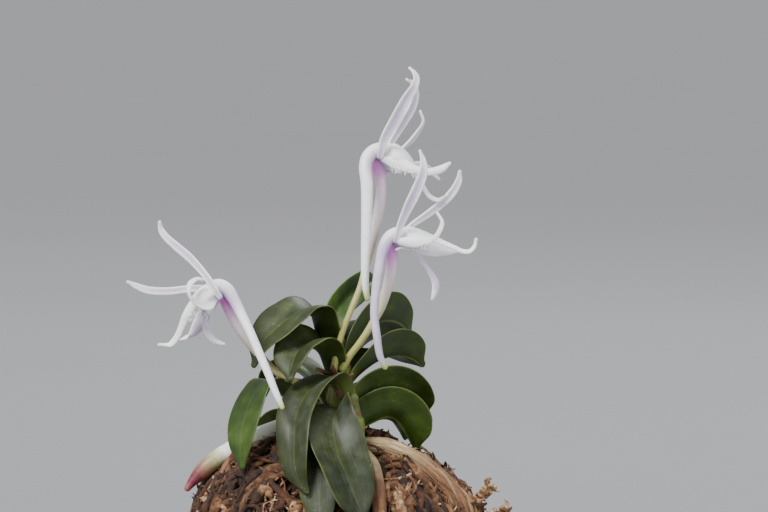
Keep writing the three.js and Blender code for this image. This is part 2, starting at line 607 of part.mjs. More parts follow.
function pot() {
  const under = POT.height - POT.rimHeight;
  const outer = POT.rimRadius - POT.rimLip;
  const outline = [
    [0, 0],
    [POT.baseRadius - 1, 0],
    [POT.baseRadius, 1],
    [lerp(POT.baseRadius, outer, 0.5) + 0.8, under * 0.5],
    [outer, under],
    [POT.rimRadius, under + 0.8],
    [POT.rimRadius, POT.height - 1],
    [POT.rimRadius - 1, POT.height],
    [innerRadius(POT.height) + 0.8, POT.height],
    [innerRadius(POT.height), POT.height - 0.8],
    [innerRadius(POT.floor), POT.floor],
    [0, POT.floor],
  ].map(([x, y]) => new THREE.Vector2(x, y));
  let body = solidOf(new THREE.LatheGeometry(outline, POT.sides).rotateX(Math.PI / 2));
  for (let i = 0; i < POT.drains; i += 1) {
    const angle = (2 * Math.PI * i) / POT.drains;
    const hole = new THREE.CylinderGeometry(POT.drainRadius, POT.drainRadius, 3 * POT.floor, 10);
    hole.rotateX(Math.PI / 2).translate(POT.drainCircle * Math.cos(angle), POT.drainCircle * Math.sin(angle), 0);
    body = body.subtract(solidOf(hole));
  }
  return body;
}

// Height of the hump's surface at a distance from its middle, and the point there on a bearing.
function humpHeight(reach) {
  const outline = [...MOSS_OUTLINE, [0, MOSS.top]];
  for (let i = 0; i < outline.length - 1; i += 1) {
    const [r0, z0] = outline[i];
    const [r1, z1] = outline[i + 1];
    if (reach <= r0 && reach >= r1) return lerp(z1, z0, (reach - r1) / (r0 - r1));
  }
  return MOSS_OUTLINE[0][1];
}

// A point of the round hump as the real one leans and narrows, the more so the higher it is.
function lean(x, y, z) {
  const share = Math.max(0, (z - POT.height) / (MOSS.top - POT.height));
  const deep = lerp(1, MOSS.depthScale, share);
  return [MOSS.centre[0] * share + x, MOSS.centre[1] * share + y * deep, z - share * (MOSS.tilt[0] * x + MOSS.tilt[1] * y)];
}

function onHump(bearing, reach, lift) {
  const angle = radians(bearing);
  return lean(reach * Math.cos(angle), reach * Math.sin(angle), humpHeight(reach) + lift);
}

function rootOnHump({ bearing, swing, from, to, radius }) {
  const steps = 5;
  const points = [];
  for (let i = 0; i <= steps; i += 1) {
    const share = i / steps;
    const lift = radius * (share < 0.9 ? 0.55 : 0.1);
    points.push(onHump(bearing + swing * Math.sin(share * 3), lerp(from, to, share), lift));
  }
  return points;
}

// A narrow four-sided spike, widest a third of the way along.
function spike(from, to, radius) {
  const way = to.clone().sub(from);
  const across = new THREE.Vector3(way.y, -way.x, 0).normalize();
  const up = new THREE.Vector3().crossVectors(across, way).normalize();
  const middle = from.clone().addScaledVector(way, 0.35);
  const corners = [across, up, across.clone().negate(), up.clone().negate()];
  const points = [from, to, ...corners.map((c) => middle.clone().addScaledVector(c, radius))];
  const triangles = [];
  for (let k = 0; k < 4; k += 1) {
    const a = 2 + k;
    const b = 2 + ((k + 1) % 4);
    triangles.push(0, b, a, 1, a, b);
  }
  const made = solidFrom(points.flatMap((p) => p.toArray()), triangles);
  return made.volume() > 0 ? made : solidFrom(points.flatMap((p) => p.toArray()), triangles.reverse());
}

// One dried moss sprig: a twig with short scale leaves round it.
function sprig(root, tip, leaves) {
  const twig = curveThrough([root, tip.map((v, i) => lerp(root[i], v, 0.5) + (i === 2 ? 0.6 : 0)), tip]);
  const points = [0, 0.5, 1].map((t) => twig.getPoint(t).toArray());
  let made = rod(points, [0.9, 0.75, 0.5], { sides: 4, steps: 2, round: false });
  for (let i = 0; i < leaves; i += 1) {
    const t = 0.3 + (0.65 * i) / leaves;
    const from = twig.getPoint(t);
    const turn = i * 2.4;
    const out = new THREE.Vector3(Math.cos(turn), Math.sin(turn), 0.7 * Math.cos(turn * 0.7));
    const to = from.clone().addScaledVector(out.normalize(), 1.9).addScaledVector(twig.getTangent(t), 0.9);
    made = made.add(spike(from, to, 0.5));
  }
  return made;
}

const SPRIGS = [
  [[24.5, -8, 61.5], [31.6, -8.6, 69.4], 7],
  [[25, -9, 59.5], [34.2, -9.6, 64.6], 7],
  [[-23.6, -8, 64], [-28, -11.6, 67.4], 3],
  [[-19, 17, 62], [-23.5, 20.5, 66.4], 3],
];

function moss() {
  const random = seededRandom(MOSS.seed);
  const between = ([low, high]) => lerp(low, high, random());
  const plug = [[0, POT.floor + GAP], [innerRadius(POT.floor) - GAP, POT.floor + GAP]];
  const lip = [[innerRadius(POT.height - 1) - GAP - 0.2, POT.height - 1]];
  const outline = [...plug, ...lip, ...MOSS_OUTLINE.slice(1), [0, MOSS.top]];
  const profilePoints = outline.map(([x, y]) => new THREE.Vector2(x, y));
  const hump = new THREE.LatheGeometry(profilePoints, MOSS.sides).rotateX(Math.PI / 2);
  const position = hump.getAttribute('position');
  for (let i = 0; i < position.count; i += 1) {
    const z = position.getZ(i);
    if (z > POT.height) {
      const x = position.getX(i);
      const y = position.getY(i);
      const rough = 1 + 0.03 * Math.sin(0.55 * x + 0.4 * z) * Math.cos(0.5 * y - 0.3 * z);
      position.setXYZ(i, ...lean(x * rough, y * rough, z));
    }
  }
  const parts = [solidOf(hump)];
  for (let i = 0; i < MOSS.strands; i += 1) {
    const reach = 4 + 25.5 * Math.sqrt(random());
    const bearing = (360 * i * 0.381966) % 360;
    const radius = between(MOSS.strandRadius);
    const length = between(MOSS.strandLength);
    const heading = random() * 2 * Math.PI;
    const curl = (random() - 0.5) * 2.6;
    const arch = between(MOSS.strandArch);
    const points = [];
    for (let k = 0; k <= 4; k += 1) {
      const share = k / 4;
      const along = (share - 0.5) * length;
      const way = heading + curl * (share - 0.5);
      const outward = Math.min(30.2, Math.max(2, reach + along * Math.cos(way)));
      const turned = bearing + ((along * Math.sin(way)) / Math.max(outward, 8)) * 57;
      const crest = Math.sin(Math.PI * share);
      points.push(onHump(turned, outward, arch * crest - 0.7 * radius * (1 - crest)));
    }
    parts.push(rod(points, [radius * 0.8, radius, radius, radius * 0.6], { sides: 4, steps: 3, round: false }));
  }
  for (const [root, tip, leaves] of SPRIGS) parts.push(sprig(root, tip, leaves));
  return wasm.Manifold.union(parts);
}

// ---- Putting the plant together -----------------------------------------------------------------
const placed = [];

function boxesMeet(a, b) {
  return [0, 1, 2].every((i) => a.min[i] < b.max[i] && b.min[i] < a.max[i]);
}

// Adds a piece, cut back to keep the gap to the pieces placed before it. make(grow) builds its solid.
function place(name, colour, make, { clear = true } = {}) {
  let solid = make(0);
  for (const other of placed) {
    if (clear && boxesMeet(solid.boundingBox(), other.grown.boundingBox())) {
      const cut = solid.subtract(other.grown);
      if (cut.volume() < solid.volume() - 1e-6) solid = largestBody(cut);
    }
  }
  placed.push({ name, colour, solid, grown: make(GAP) });
}

for (const [name, { spine, radii }] of Object.entries(SHOOTS)) {
  place(name, 'stem', (grow) => rod(spine, radii, { steps: 10, grow, flat: 0.85 }));
}
place('flowering_stem', 'stalk', (grow) => rod(FLOWERING_STEM.spine, FLOWERING_STEM.radii, { steps: 4, grow }));
place('bracts', 'bract', (grow) => {
  const scales = BRACTS.map((spine) => rod(spine, [1.1, 0.9, 0.35], { sides: 5, steps: 2, grow, flat: 0.6, round: false }));
  return wasm.Manifold.union(scales);
});
for (const [name, { spine, radii, live }] of Object.entries(ROOTS)) {
  place(name, live ? 'rootLive' : 'rootOld', (grow) => rod(spine, radii, { steps: 11, grow }));
}
for (const root of ROOT_BEARINGS) {
  const spine = rootOnHump(root);
  const radii = [0.8, 1, 1, 1, 0.9, root.live ? 0.4 : 0.75].map((share) => share * root.radius);
  place(root.name, root.live ? 'rootLive' : 'rootOld', (grow) => rod(spine, radii, { steps: 8, sides: 6, grow }));
}
for (const [bloom, parts] of Object.entries(BLOOMS)) {
  place(`${bloom}_bloom_stalk`, 'stalk', (grow) => rod(parts.stalk, parts.stalkRadii, { steps: 12, sides: 6, grow }));
  place(`${bloom}_bloom_column`, 'column', (grow) => rod(parts.column, COLUMN_RADII, { steps: 2, sides: 7, grow }));
  place(`${bloom}_bloom_lip_and_spur`, 'lip', (grow) => lip(parts.lip, grow));
  for (const name of TEPAL_NAMES) {
    place(`${bloom}_bloom_${name}`, 'tepal', (grow) => tepal(parts[name], grow));
  }
}
for (const [name, measures] of Object.entries(LEAVES)) {
  place(name, 'leaf', (grow) => leaf(measures, grow));
}
place('moss_hump', 'moss', () => moss());
place('pot', 'pot', () => pot(), { clear: false });

const orchid = new THREE.Group();
for (const { name, colour, solid } of placed) {
  const [hex, roughness] = COLOURS[colour];
  const material = new THREE.MeshStandardMaterial({ color: hex, roughness, metalness: 0 });
  const mesh = new THREE.Mesh(geometryOf(solid), material);
  mesh.name = name;
  orchid.add(mesh);
}
export default orchid;
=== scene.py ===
# %% [markdown]
# # A wind orchid in its pot
# A wind orchid is a small plant with short fans of leathery leaves, thick roots that creep over a hump of
# dried moss, and white flowers that each trail a long hollow spur. The dimensioned model that this lesson
# loads holds every leaf, petal, stalk and root at its real size. Here each is made again, smooth and finely
# divided, along the same lines and widths, and then given its colours.
#
# The frame's box is measured before anything is added, so that the end can show that nothing outgrew it.

# %% Load the frame
import json
import math
import random

import bmesh
import bpy
from mathutils import Matrix, Vector, noise
from mathutils.geometry import interpolate_bezier

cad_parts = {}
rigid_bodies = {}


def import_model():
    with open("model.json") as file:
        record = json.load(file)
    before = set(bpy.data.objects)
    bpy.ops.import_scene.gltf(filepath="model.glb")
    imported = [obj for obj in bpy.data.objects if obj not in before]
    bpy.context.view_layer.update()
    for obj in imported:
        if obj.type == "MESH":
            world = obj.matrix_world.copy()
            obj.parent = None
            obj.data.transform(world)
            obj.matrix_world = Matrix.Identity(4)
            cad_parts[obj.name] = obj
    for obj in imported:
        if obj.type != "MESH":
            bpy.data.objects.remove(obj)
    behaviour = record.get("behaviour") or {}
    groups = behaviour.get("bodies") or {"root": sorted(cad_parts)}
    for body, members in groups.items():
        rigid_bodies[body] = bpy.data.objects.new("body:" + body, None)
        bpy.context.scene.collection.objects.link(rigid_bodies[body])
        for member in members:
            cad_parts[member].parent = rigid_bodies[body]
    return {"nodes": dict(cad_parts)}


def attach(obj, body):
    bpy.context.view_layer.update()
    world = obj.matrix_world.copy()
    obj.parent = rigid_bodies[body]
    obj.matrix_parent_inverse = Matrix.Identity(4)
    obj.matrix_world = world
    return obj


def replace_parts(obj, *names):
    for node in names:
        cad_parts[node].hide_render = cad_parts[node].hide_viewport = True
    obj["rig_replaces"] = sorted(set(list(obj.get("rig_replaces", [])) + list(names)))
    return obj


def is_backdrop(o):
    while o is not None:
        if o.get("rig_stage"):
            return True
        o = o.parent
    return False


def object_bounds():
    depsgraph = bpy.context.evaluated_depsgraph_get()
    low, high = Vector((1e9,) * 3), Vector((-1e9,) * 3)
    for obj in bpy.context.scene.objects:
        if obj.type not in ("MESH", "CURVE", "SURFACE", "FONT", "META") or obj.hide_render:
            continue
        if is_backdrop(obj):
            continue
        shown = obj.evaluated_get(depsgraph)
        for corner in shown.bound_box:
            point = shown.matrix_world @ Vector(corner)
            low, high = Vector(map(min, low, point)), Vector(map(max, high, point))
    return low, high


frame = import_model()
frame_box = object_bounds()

scene = bpy.context.scene
MM = 0.001
FULL_TURN = 2 * math.pi
print("nodes in the frame:", len(frame["nodes"]))

# %% [markdown]
# ## The camera
# A long lens from far away draws near and far parts at almost the same size, which is how a small plant is
# usually seen in close-up. The camera stands 600 mm in front of the flowers and a little above them, and the
# lens is chosen so that five pixels cover one millimetre. The pot lies below the picture.

# %% Camera
TARGET = Vector((8.8, -8.0, 114.8)) * MM
DISTANCE = 600 * MM
CAMERA_RISE = math.radians(5)
SENSOR = 36.0
PIXELS_ACROSS, PIXELS_PER_MM = 768, 5
PICTURE_WIDTH = PIXELS_ACROSS / PIXELS_PER_MM * MM

camera_data = bpy.data.cameras.new("camera")
camera_data.sensor_width = SENSOR
camera_data.lens = SENSOR * DISTANCE / PICTURE_WIDTH
camera_data.clip_start = 0.01
camera = bpy.data.objects.new("camera", camera_data)
camera.location = TARGET + DISTANCE * Vector((0, -math.cos(CAMERA_RISE), math.sin(CAMERA_RISE)))
camera.rotation_euler = (math.pi / 2 - CAMERA_RISE, 0, 0)
scene.collection.objects.link(camera)
scene.camera = camera
print("lens in mm:", round(camera_data.lens, 1))

# %% [markdown]
# ## Lines and widths
# Every organ of this plant is long and bent: a leaf, a petal, a spur and a root differ only in what is
# carried along the bend. So the first helper turns a few points into one smooth line, measured off by its
# own length. The square roots in it keep it from overshooting where points are close together. The second
# helper reads a short list of widths anywhere along the line, again with a smooth curve.

# %% A smooth line through points
class Line:
    """A smooth line through points given in millimetres, read by the share of its length."""

    def __init__(self, points, steps=20):
        stops = [Vector(p) * MM for p in points]
        stops = [2 * stops[0] - stops[1], *stops, 2 * stops[-1] - stops[-2]]
        self.points = []
        for before, start, end, after in zip(stops, stops[1:], stops[2:], stops[3:]):
            a, b, c = [math.sqrt((q - p).length) for p, q in ((before, start), (start, end), (end, after))]
            leave = ((start - before) / a - (end - before) / (a + b) + (end - start) / b) * b
            arrive = ((end - start) / b - (after - start) / (b + c) + (after - end) / c) * b
            stretch = interpolate_bezier(start, start + leave / 3, end - arrive / 3, end, steps + 1)
            self.points += stretch[:-1]
        self.points.append(stops[-2])
        self.reach = [0.0]
        for p, q in zip(self.points, self.points[1:]):
            self.reach.append(self.reach[-1] + (q - p).length)

    def at(self, share):
        """The point at a share of the length."""
        wanted = min(max(share, 0), 1) * self.reach[-1]
        low, high = 0, len(self.reach) - 1
        while high - low > 1:
            middle = (low + high) // 2
            low, high = (middle, high) if self.reach[middle] <= wanted else (low, middle)
        part = (wanted - self.reach[low]) / (self.reach[high] - self.reach[low])
        return self.points[low].lerp(self.points[high], part)

    def way(self, share):
        """The direction of the line at a share of the length."""
        near = 0.004
        return (self.at(share + near) - self.at(share - near)).normalized()


def spread(values, share):
    """The value at a share of a list spread evenly, with a smooth curve through its entries."""
    place = min(max(share, 0), 1) * (len(values) - 1)
    i = min(int(place), len(values) - 2)
    f = place - i
    a, b, c, d = values[max(i - 1, 0)], values[i], values[i + 1], values[min(i + 2, len(values) - 1)]
    return b + 0.5 * f * (c - a + f * (2 * a - 5 * b + 4 * c - d + f * (3 * (b - c) + d - a)))


def mix(a, b, share):
    return a + (b - a) * share


def around_turn(across, up, turn):
    """The direction at a turn between two directions that are square to each other."""
    return across * math.cos(turn) + up * math.sin(turn)


print("a test line is", round(Line([(0, 0, 0), (3, 0, 4), (6, 0, 0)]).reach[-1] / MM, 2), "mm long")

# %% [markdown]
# ## Skins
# A skin is a flat grid rolled up. `create_grid` gives rows and columns, every point is carried to its ring
# along the line, and `remove_doubles` welds the seam and gathers each end into one pole. Two operators make
# a closed shape, whatever its section. Each point remembers how far along it is, how far from the rib, and
# whether it is on the upper or the under face, so that colours can follow the form.

# %% Roll a grid into a closed skin
def roll_skin(bm, rings, shares, columns, tint=0.0, blush=None, tip=None):
    """Rolls a grid over rings of points. shares says how far along a ring is, columns where a column is."""
    around, rows = len(columns), len(rings) - 1
    marks = ("along", "across", "upper", "tint", "blush", "tip")
    layers = [bm.verts.layers.float.get(name) or bm.verts.layers.float.new(name) for name in marks]
    grid = bmesh.ops.create_grid(bm, x_segments=around, y_segments=rows, size=0.5)
    for v in grid["verts"]:
        column = round((v.co.x + 0.5) * around) % around
        row = round((v.co.y + 0.5) * rows)
        v.co = rings[row][column % len(rings[row])]
        along, (across, upper) = shares[row], columns[column]
        mauve = blush(along, across, v.co / MM) if blush else 0.0
        for layer, value in zip(layers, (along, across, upper, tint, mauve, tip(along) if tip else 0.0)):
            v[layer] = value
    bmesh.ops.remove_doubles(bm, verts=grid["verts"], dist=1e-7)


def round_columns(around):
    """The columns of a round section: how far each lies across and up."""
    turns = [FULL_TURN * k / around for k in range(around)]
    return [(math.cos(a), math.sin(a)) for a in turns]


def strap_columns(around, fullness=3.0):
    """The columns of a strap's section, whose edges are rounded and whose faces are almost flat."""
    def square_up(value):
        return math.copysign(abs(value) ** (2 / fullness), value)

    return [(square_up(x), square_up(y)) for x, y in round_columns(around)]


ROUND_CAP = (90, 68, 45, 22)
ROD_CURL = 0.95


def rings_along(widths, rows, ring, curl, cap):
    """Rings over a length and over a cap at each end, and each ring's share. cap is its rings' degrees."""
    turns = [math.radians(a) for a in cap]
    start, stop = spread(widths, 0) * MM * curl, spread(widths, 1) * MM * curl
    stages = [(0, math.cos(a), -start * math.sin(a)) for a in turns]
    stages += [(i / rows, 1, 0) for i in range(rows + 1)]
    stages += [(1, math.cos(a), stop * math.sin(a)) for a in reversed(turns)]
    rings = [ring(*stage) for stage in stages]
    rings[0], rings[-1] = rings[0][:1], rings[-1][:1]
    return rings, [share for share, size, push in stages]

# %% [markdown]
# ## Two kinds of section
# A round section is enough for stems, stalks, roots and spurs. Directions across the line are carried along
# it from one ring to the next, each made square to the line again, so that the tube never twists.
#
# Leaves, sepals and petals have a strap's section, folded along the rib and arched from rib to edge. From
# the side you see the keel below and the two halves above it. Close to the rib the face turns gradually,
# because a thick strap that is folded sharply would run into itself.

# %% A rod
def carried_across(ways):
    """Two directions across each way along a line, carried along without twist."""
    first = ways[0]
    least = min(((1, 0, 0), (0, 1, 0), (0, 0, 1)), key=lambda axis: abs(first.dot(Vector(axis))))
    normal = first.cross(first.cross(Vector(least)).normalized())
    pairs = []
    for way in ways:
        normal = (normal - way * normal.dot(way)).normalized()
        pairs.append((normal, way.cross(normal)))
    return pairs


def add_rod(bm, points, radii, around=14, rows=40, flat=1.0, ripple=None, cap=ROUND_CAP, **paint):
    """Adds a rod along points to a bmesh. ripple scales the radius by share and turn."""
    line = Line(points)
    ways = [line.way(i / rows) for i in range(rows + 1)]
    pairs = carried_across(ways)

    def ring(share, size, push):
        row = round(share * rows)
        across, up = pairs[row]
        middle = line.at(share) + ways[row] * push
        radius = spread(radii, share) * MM * size
        points = []
        for k in range(around):
            turn = FULL_TURN * k / around
            wide = radius * (ripple(share, turn) if ripple else 1)
            points.append(middle + across * wide * math.cos(turn) + up * wide * flat * math.sin(turn))
        return points

    rings, shares = rings_along(radii, rows, ring, ROD_CURL, cap)
    roll_skin(bm, rings, shares, round_columns(around), **paint)


# %% A folded strap
def steady(*directions):
    """A side that turns evenly from the first direction to the last."""
    root, tip = Vector(directions[0]), Vector(directions[-1])
    return lambda share, way: root.lerp(tip, share)


def add_strap(
    bm, points, widths, side, fold, arch, thickness, edge, around=16, rows=36, wave=None, curl=0.85,
    cap=ROUND_CAP, **paint,
):
    """Adds a strap along points. side is the direction across it, fold and arch are degrees by share."""
    line, columns = Line(points), strap_columns(around)

    def ring(share, size, push):
        way = line.way(share)
        across = side(share, way)
        across = (across - way * across.dot(way)).normalized()
        up = across.cross(way)
        middle = line.at(share) + way * push
        half = spread(widths, share) * MM * size
        tilt, bend = math.radians(fold(share)), math.radians(arch(share)) or 1e-6
        points = []
        for reach, lift in columns:
            sign, far = math.copysign(1, reach), abs(reach)
            angle = tilt + bend * far
            x = sign * half * (math.sin(angle) - math.sin(tilt)) / bend
            y = -half * (math.cos(angle) - math.cos(tilt)) / bend
            deep = mix(thickness, edge, far) / 2 * MM * lift * size
            turned = angle * math.sin(math.pi / 2 * min(1, far / 0.7))
            if wave:
                y += wave(share, reach) * MM * size
            x -= sign * deep * math.sin(turned)
            points.append(middle + across * x + up * (y + deep * math.cos(turned)))
        return points

    rings, shares = rings_along(widths, rows, ring, curl, cap)
    roll_skin(bm, rings, shares, columns, **paint)

# %% [markdown]
# ## Finishing a piece
# Every piece ends the same way. Its normals are made to point outwards, it is shaded smooth, it gets its
# material, it rides on the frame's one body, and it takes the place of the frame's piece that it was made
# from. The object stays at the origin, with its place in its mesh, so that patterns which read Object
# coordinates lie where they should.

# %% Finish a piece
triangles = {}


def new_object(name, bm, smooth=True):
    """Makes an object of the scene from a bmesh."""
    mesh = bpy.data.meshes.new(name)
    bm.to_mesh(mesh)
    bm.free()
    mesh.polygons.foreach_set("use_smooth", [smooth] * len(mesh.polygons))
    made = bpy.data.objects.new(name, mesh)
    scene.collection.objects.link(made)
    return made


def finish_piece(name, bm, finish, slot, *nodes):
    """Makes a piece of a bmesh, rides it on the frame and lets it stand for the frame's nodes."""
    bmesh.ops.recalc_face_normals(bm, faces=bm.faces)
    triangles[name] = sum(len(f.verts) - 2 for f in bm.faces)
    piece = new_object(name, bm)
    piece.data.materials.append(finish.material)
    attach(piece, "root")
    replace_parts(piece, *nodes)
    return piece


def finish_node(node, bm, finish, slot):
    return finish_piece(f"{node}_fine", bm, finish, slot, node)

# %% [markdown]
# ## Building materials
# A material is a small network of nodes that ends in one shader. `Finish` holds one material and adds a node
# to it with each call, so that a finish reads from top to bottom like a recipe: a pattern, a ramp that turns
# it into a colour, more colours laid over the first by a share, and a bump.
#
# The patterns read Object coordinates, or the marks that each skin carries. Distances in metres make the
# scales large: a pattern of 2 mm has a scale of 500.

# %% A finish
def colour(hex_code):
    """A linear colour from the six digits that paint charts use."""
    values = [int(hex_code[i:i + 2], 16) / 255 for i in (0, 2, 4)]
    return (*[v / 12.92 if v <= 0.04045 else ((v + 0.055) / 1.055) ** 2.4 for v in values], 1)


class Finish:
    """A material that is built up node by node. Uniform values go on the shader's own sockets."""

    def __init__(self, name, **sockets):
        self.material = bpy.data.materials.new(name)
        self.material.use_nodes = True
        self.tree = self.material.node_tree
        self.shader = self.tree.nodes["Principled BSDF"]
        self.base = None
        for socket, value in sockets.items():
            self.shader.inputs[socket.replace("_", " ")].default_value = value

    def add(self, kind, inputs, output=0, **settings):
        """Adds a node, sets its settings, fills or links its inputs and returns one output."""
        made = self.tree.nodes.new("ShaderNode" + kind)
        for setting, value in settings.items():
            setattr(made, setting, value)
        for socket, value in inputs.items():
            if isinstance(value, bpy.types.NodeSocket):
                self.tree.links.new(value, made.inputs[socket])
            else:
                made.inputs[socket].default_value = value
        return made.outputs[output]

    def mark(self, name):
        """One of the marks that a skin's points carry."""
        return self.add("Attribute", {}, "Fac", attribute_name=name)

    def maths(self, operation, a, b=0.0):
        return self.add("Math", {0: a, 1: b}, operation=operation)

    def times(self, a, b):
        return self.maths("MULTIPLY", a, b)

    def plus(self, a, b):
        return self.maths("ADD", a, b)

    def span(self, value, low, high, out_low=0.0, out_high=1.0):
        """value rescaled from low..high to out_low..out_high, and held there."""
        inputs = {"Value": value, "From Min": low, "From Max": high, "To Min": out_low, "To Max": out_high}
        return self.add("MapRange", inputs, interpolation_type="SMOOTHSTEP")

    def grain(self, scale, detail=3.0, rough=0.55, stretch=(1, 1, 1), of=None):
        """A soft random pattern on Object coordinates, or on another vector."""
        placed = self.add("Mapping", {"Vector": of or self.add("TexCoord", {}, "Object"), "Scale": stretch})
        return self.add("TexNoise", {"Vector": placed, "Scale": scale, "Detail": detail, "Roughness": rough})

    def skin_grain(self, wide, long, detail, rough=0.6):
        """A pattern that follows a skin. wide and long are its scales across and along."""
        across, along = self.times(self.mark("across"), wide), self.times(self.mark("along"), long)
        place = self.add("CombineXYZ", {"X": across, "Y": along, "Z": self.mark("tint")})
        return self.grain(1, detail, rough, of=place)

    def ramp(self, value, stops):
        """Colours by value. stops are positions and paint-chart colours."""
        made = self.tree.nodes.new("ShaderNodeValToRGB")
        self.tree.links.new(value, made.inputs["Fac"])
        elements = made.color_ramp.elements
        while len(elements) < len(stops):
            elements.new(0.5)
        for element, (position, code) in zip(elements, stops.items()):
            element.position = position
            element.color = colour(code)
        return made.outputs["Color"]

    def lay(self, share, over):
        """Lays a colour over the base by a share. over is a socket or a paint-chart colour."""
        over = colour(over) if isinstance(over, str) else over
        self.base = self.add("Mix", {0: share, 6: self.base, 7: over}, 2, data_type="RGBA")

    def close(self, height=None, distance=0.0, strength=1.0, gloss=None):
        """Joins the base to the shader, and lets height raise the surface by a distance in metres."""
        self.tree.links.new(self.base, self.shader.inputs["Base Color"])
        if gloss:
            self.tree.links.new(gloss, self.shader.inputs["Roughness"])
        if height:
            normal = self.add("Bump", {"Height": height, "Distance": distance, "Strength": strength})
            self.tree.links.new(normal, self.shader.inputs["Normal"])


# %% [markdown]
# ## Leaf green
# The leaves are thick and leathery. Their green has five things in it: a darker upper face and a yellower
# under face, a paler margin and keel where the leaf is thinnest or the rib shows, fine lines along it, a dull
# blue-grey layer on the older leaves, and tiny pale specks. The blue-grey layer lies on the upper face and is
# partly the leaf's wax and partly a painted sheen of reflected light. The mark tint says how young a leaf is,
# and blush how much of that wax and painted sheen it has.

# %% Leaf material
leaf = Finish("leaf_green", Roughness=0.5, Specular_IOR_Level=0.32)
across = leaf.maths("ABSOLUTE", leaf.mark("across"))
upper = leaf.span(leaf.mark("upper"), -0.15, 0.15)
patches = leaf.grain(210, 4)
leaf.base = leaf.ramp(patches, {0.3: "20280b", 0.5: "2c360f", 0.72: "3d4717"})
leaf.lay(upper, leaf.ramp(patches, {0.3: "1d220a", 0.5: "282e0f", 0.72: "373e17"}))
leaf.lay(leaf.mark("tint"), leaf.ramp(patches, {0.3: "27450b", 0.5: "33550f", 0.72: "466816"}))
lines = leaf.skin_grain(24, 2.5, 2, 0.5)
leaf.lay(leaf.span(lines, 0.52, 0.8, 0, 0.16), "6a7741")
leaf.lay(leaf.times(leaf.span(across, 0.95, 0.998), leaf.span(patches, 0.3, 0.6, 0.15, 0.45)), "6f7c3a")
leaf.lay(leaf.times(leaf.span(across, 0.07, 0.02), leaf.span(upper, 0, 1, 0.6, 0.1)), "7b8f3d")
clouds = leaf.plus(leaf.skin_grain(1.5, 1.1, 4), leaf.times(leaf.grain(420, 5, 0.7), 0.6))
# Painted sheen: the blue-grey layer on the upper faces stands for reflected light as well as for the leaves'
# wax.
wax_and_sheen = leaf.times(leaf.mark("blush"), leaf.span(clouds, 0.72, 1.05, 0.03, 0.5))
wax_and_sheen = leaf.times(leaf.times(wax_and_sheen, leaf.span(across, 0.9, 0.1, 0.4, 1)), upper)
leaf.lay(wax_and_sheen, "4c5a5d")
specks = leaf.span(leaf.grain(2600, 2, 0.5), 0.66, 0.78)
leaf.lay(leaf.times(specks, leaf.span(patches, 0.48, 0.64, 0, 0.55)), "a9b39b")
leaf.lay(leaf.span(leaf.mark("along"), 0.26, 0.02, 0, 0.5), "7a883c")
relief = leaf.plus(leaf.times(lines, 0.6), leaf.times(leaf.grain(1400, 2), 0.4))
leaf.close(relief, distance=0.00009, strength=0.5, gloss=leaf.span(patches, 0.3, 0.7, 0.42, 0.56))

# %% [markdown]
# ## Petal white
# The flowers are white with a breath of mauve, deepest at the heart where spur, lip and stalk meet, and the
# spurs and tongues end in yellow-green. The mauve follows the form, so it is worked out for each point while
# the skin is rolled, and a ramp turns it into colour. The ramp's grey-lavender middle paints the shade on the
# backs of sepals and petals as well as their mauve. Petals let light through, and a little subsurface
# scattering with a reach of 1 mm gives that softness.

# %% Petal and lip materials
def petal_white(name, roughness):
    petal = Finish(
        name, Roughness=roughness, Subsurface_Weight=0.3, Subsurface_Scale=0.0012,
        Subsurface_Radius=(1, 0.8, 0.9), Sheen_Weight=0.15, Sheen_Roughness=0.4,
    )
    cloud = petal.span(petal.grain(420, 3), 0.3, 0.7, -0.04, 0.04)
    veins = petal.skin_grain(9, 2.2, 2, 0.5)
    # The middle of this ramp is grey-lavender: on sepals and petals it paints the shade on their backs as
    # well as their mauve.
    mauve = petal.times(petal.plus(cloud, petal.mark("blush")), petal.span(veins, 0.3, 0.7, 0.86, 1.12))
    stops = {0: "fafaf9", 0.12: "ebe8ee", 0.3: "ccc5d4", 0.5: "b9aec5", 0.75: "cd9bd9", 1: "d27dd3"}
    petal.base = petal.ramp(mauve, stops)
    petal.lay(petal.mark("tip"), "b5ba5c")
    petal.lay(petal.mark("tint"), "aaa3a9")
    relief = petal.plus(petal.times(veins, 0.7), petal.times(petal.grain(5200, 1), 0.3))
    petal.close(relief, distance=0.00007, strength=0.55)
    return petal


petal, lip = petal_white("petal_white", 0.5), petal_white("lip_white", 0.4)

# %% [markdown]
# ## Stems, stalks and roots
# These are round, so their colours run along them. A stalk is green at the foot, olive and then grey, and
# turns mauve below the flower. A living root is covered in white spongy skin up to a green-brown collar and
# a ruby growing tip. An old root has lost that skin: what is left is tan fibre, darker in its furrows.

# %% Stalk and bract materials
stalk = Finish("flower_stalk", Roughness=0.5, Subsurface_Weight=0.12, Subsurface_Scale=0.001)
fine = stalk.skin_grain(3, 60, 3)
place = stalk.plus(stalk.span(fine, 0.3, 0.7, -0.05, 0.05), stalk.mark("along"))
stops = {0: "8a9044", 0.25: "a3a05a", 0.5: "bdb78e", 0.66: "cbc4b8", 0.8: "dacdd3", 0.93: "e3c8e0"}
stalk.base = stalk.ramp(place, stops)
stalk.lay(stalk.mark("blush"), "d27acd")
stalk.lay(stalk.mark("tint"), "6f7a35")
stalk.lay(stalk.span(stalk.grain(1500, 2), 0.6, 0.75, 0, 0.2), "7d7250")
stalk.close(fine, distance=0.00006, strength=0.5)

bract = Finish("papery_bract", Roughness=0.75)
ribs = bract.skin_grain(8, 2, 3)
bract.base = bract.ramp(ribs, {0.3: "2a110b", 0.5: "4f2217", 0.7: "7a4631"})
bract.lay(bract.span(bract.mark("along"), 0.5, 1, 0, 0.6), "6a4a2b")
bract.close(ribs, distance=0.00015, strength=0.8)

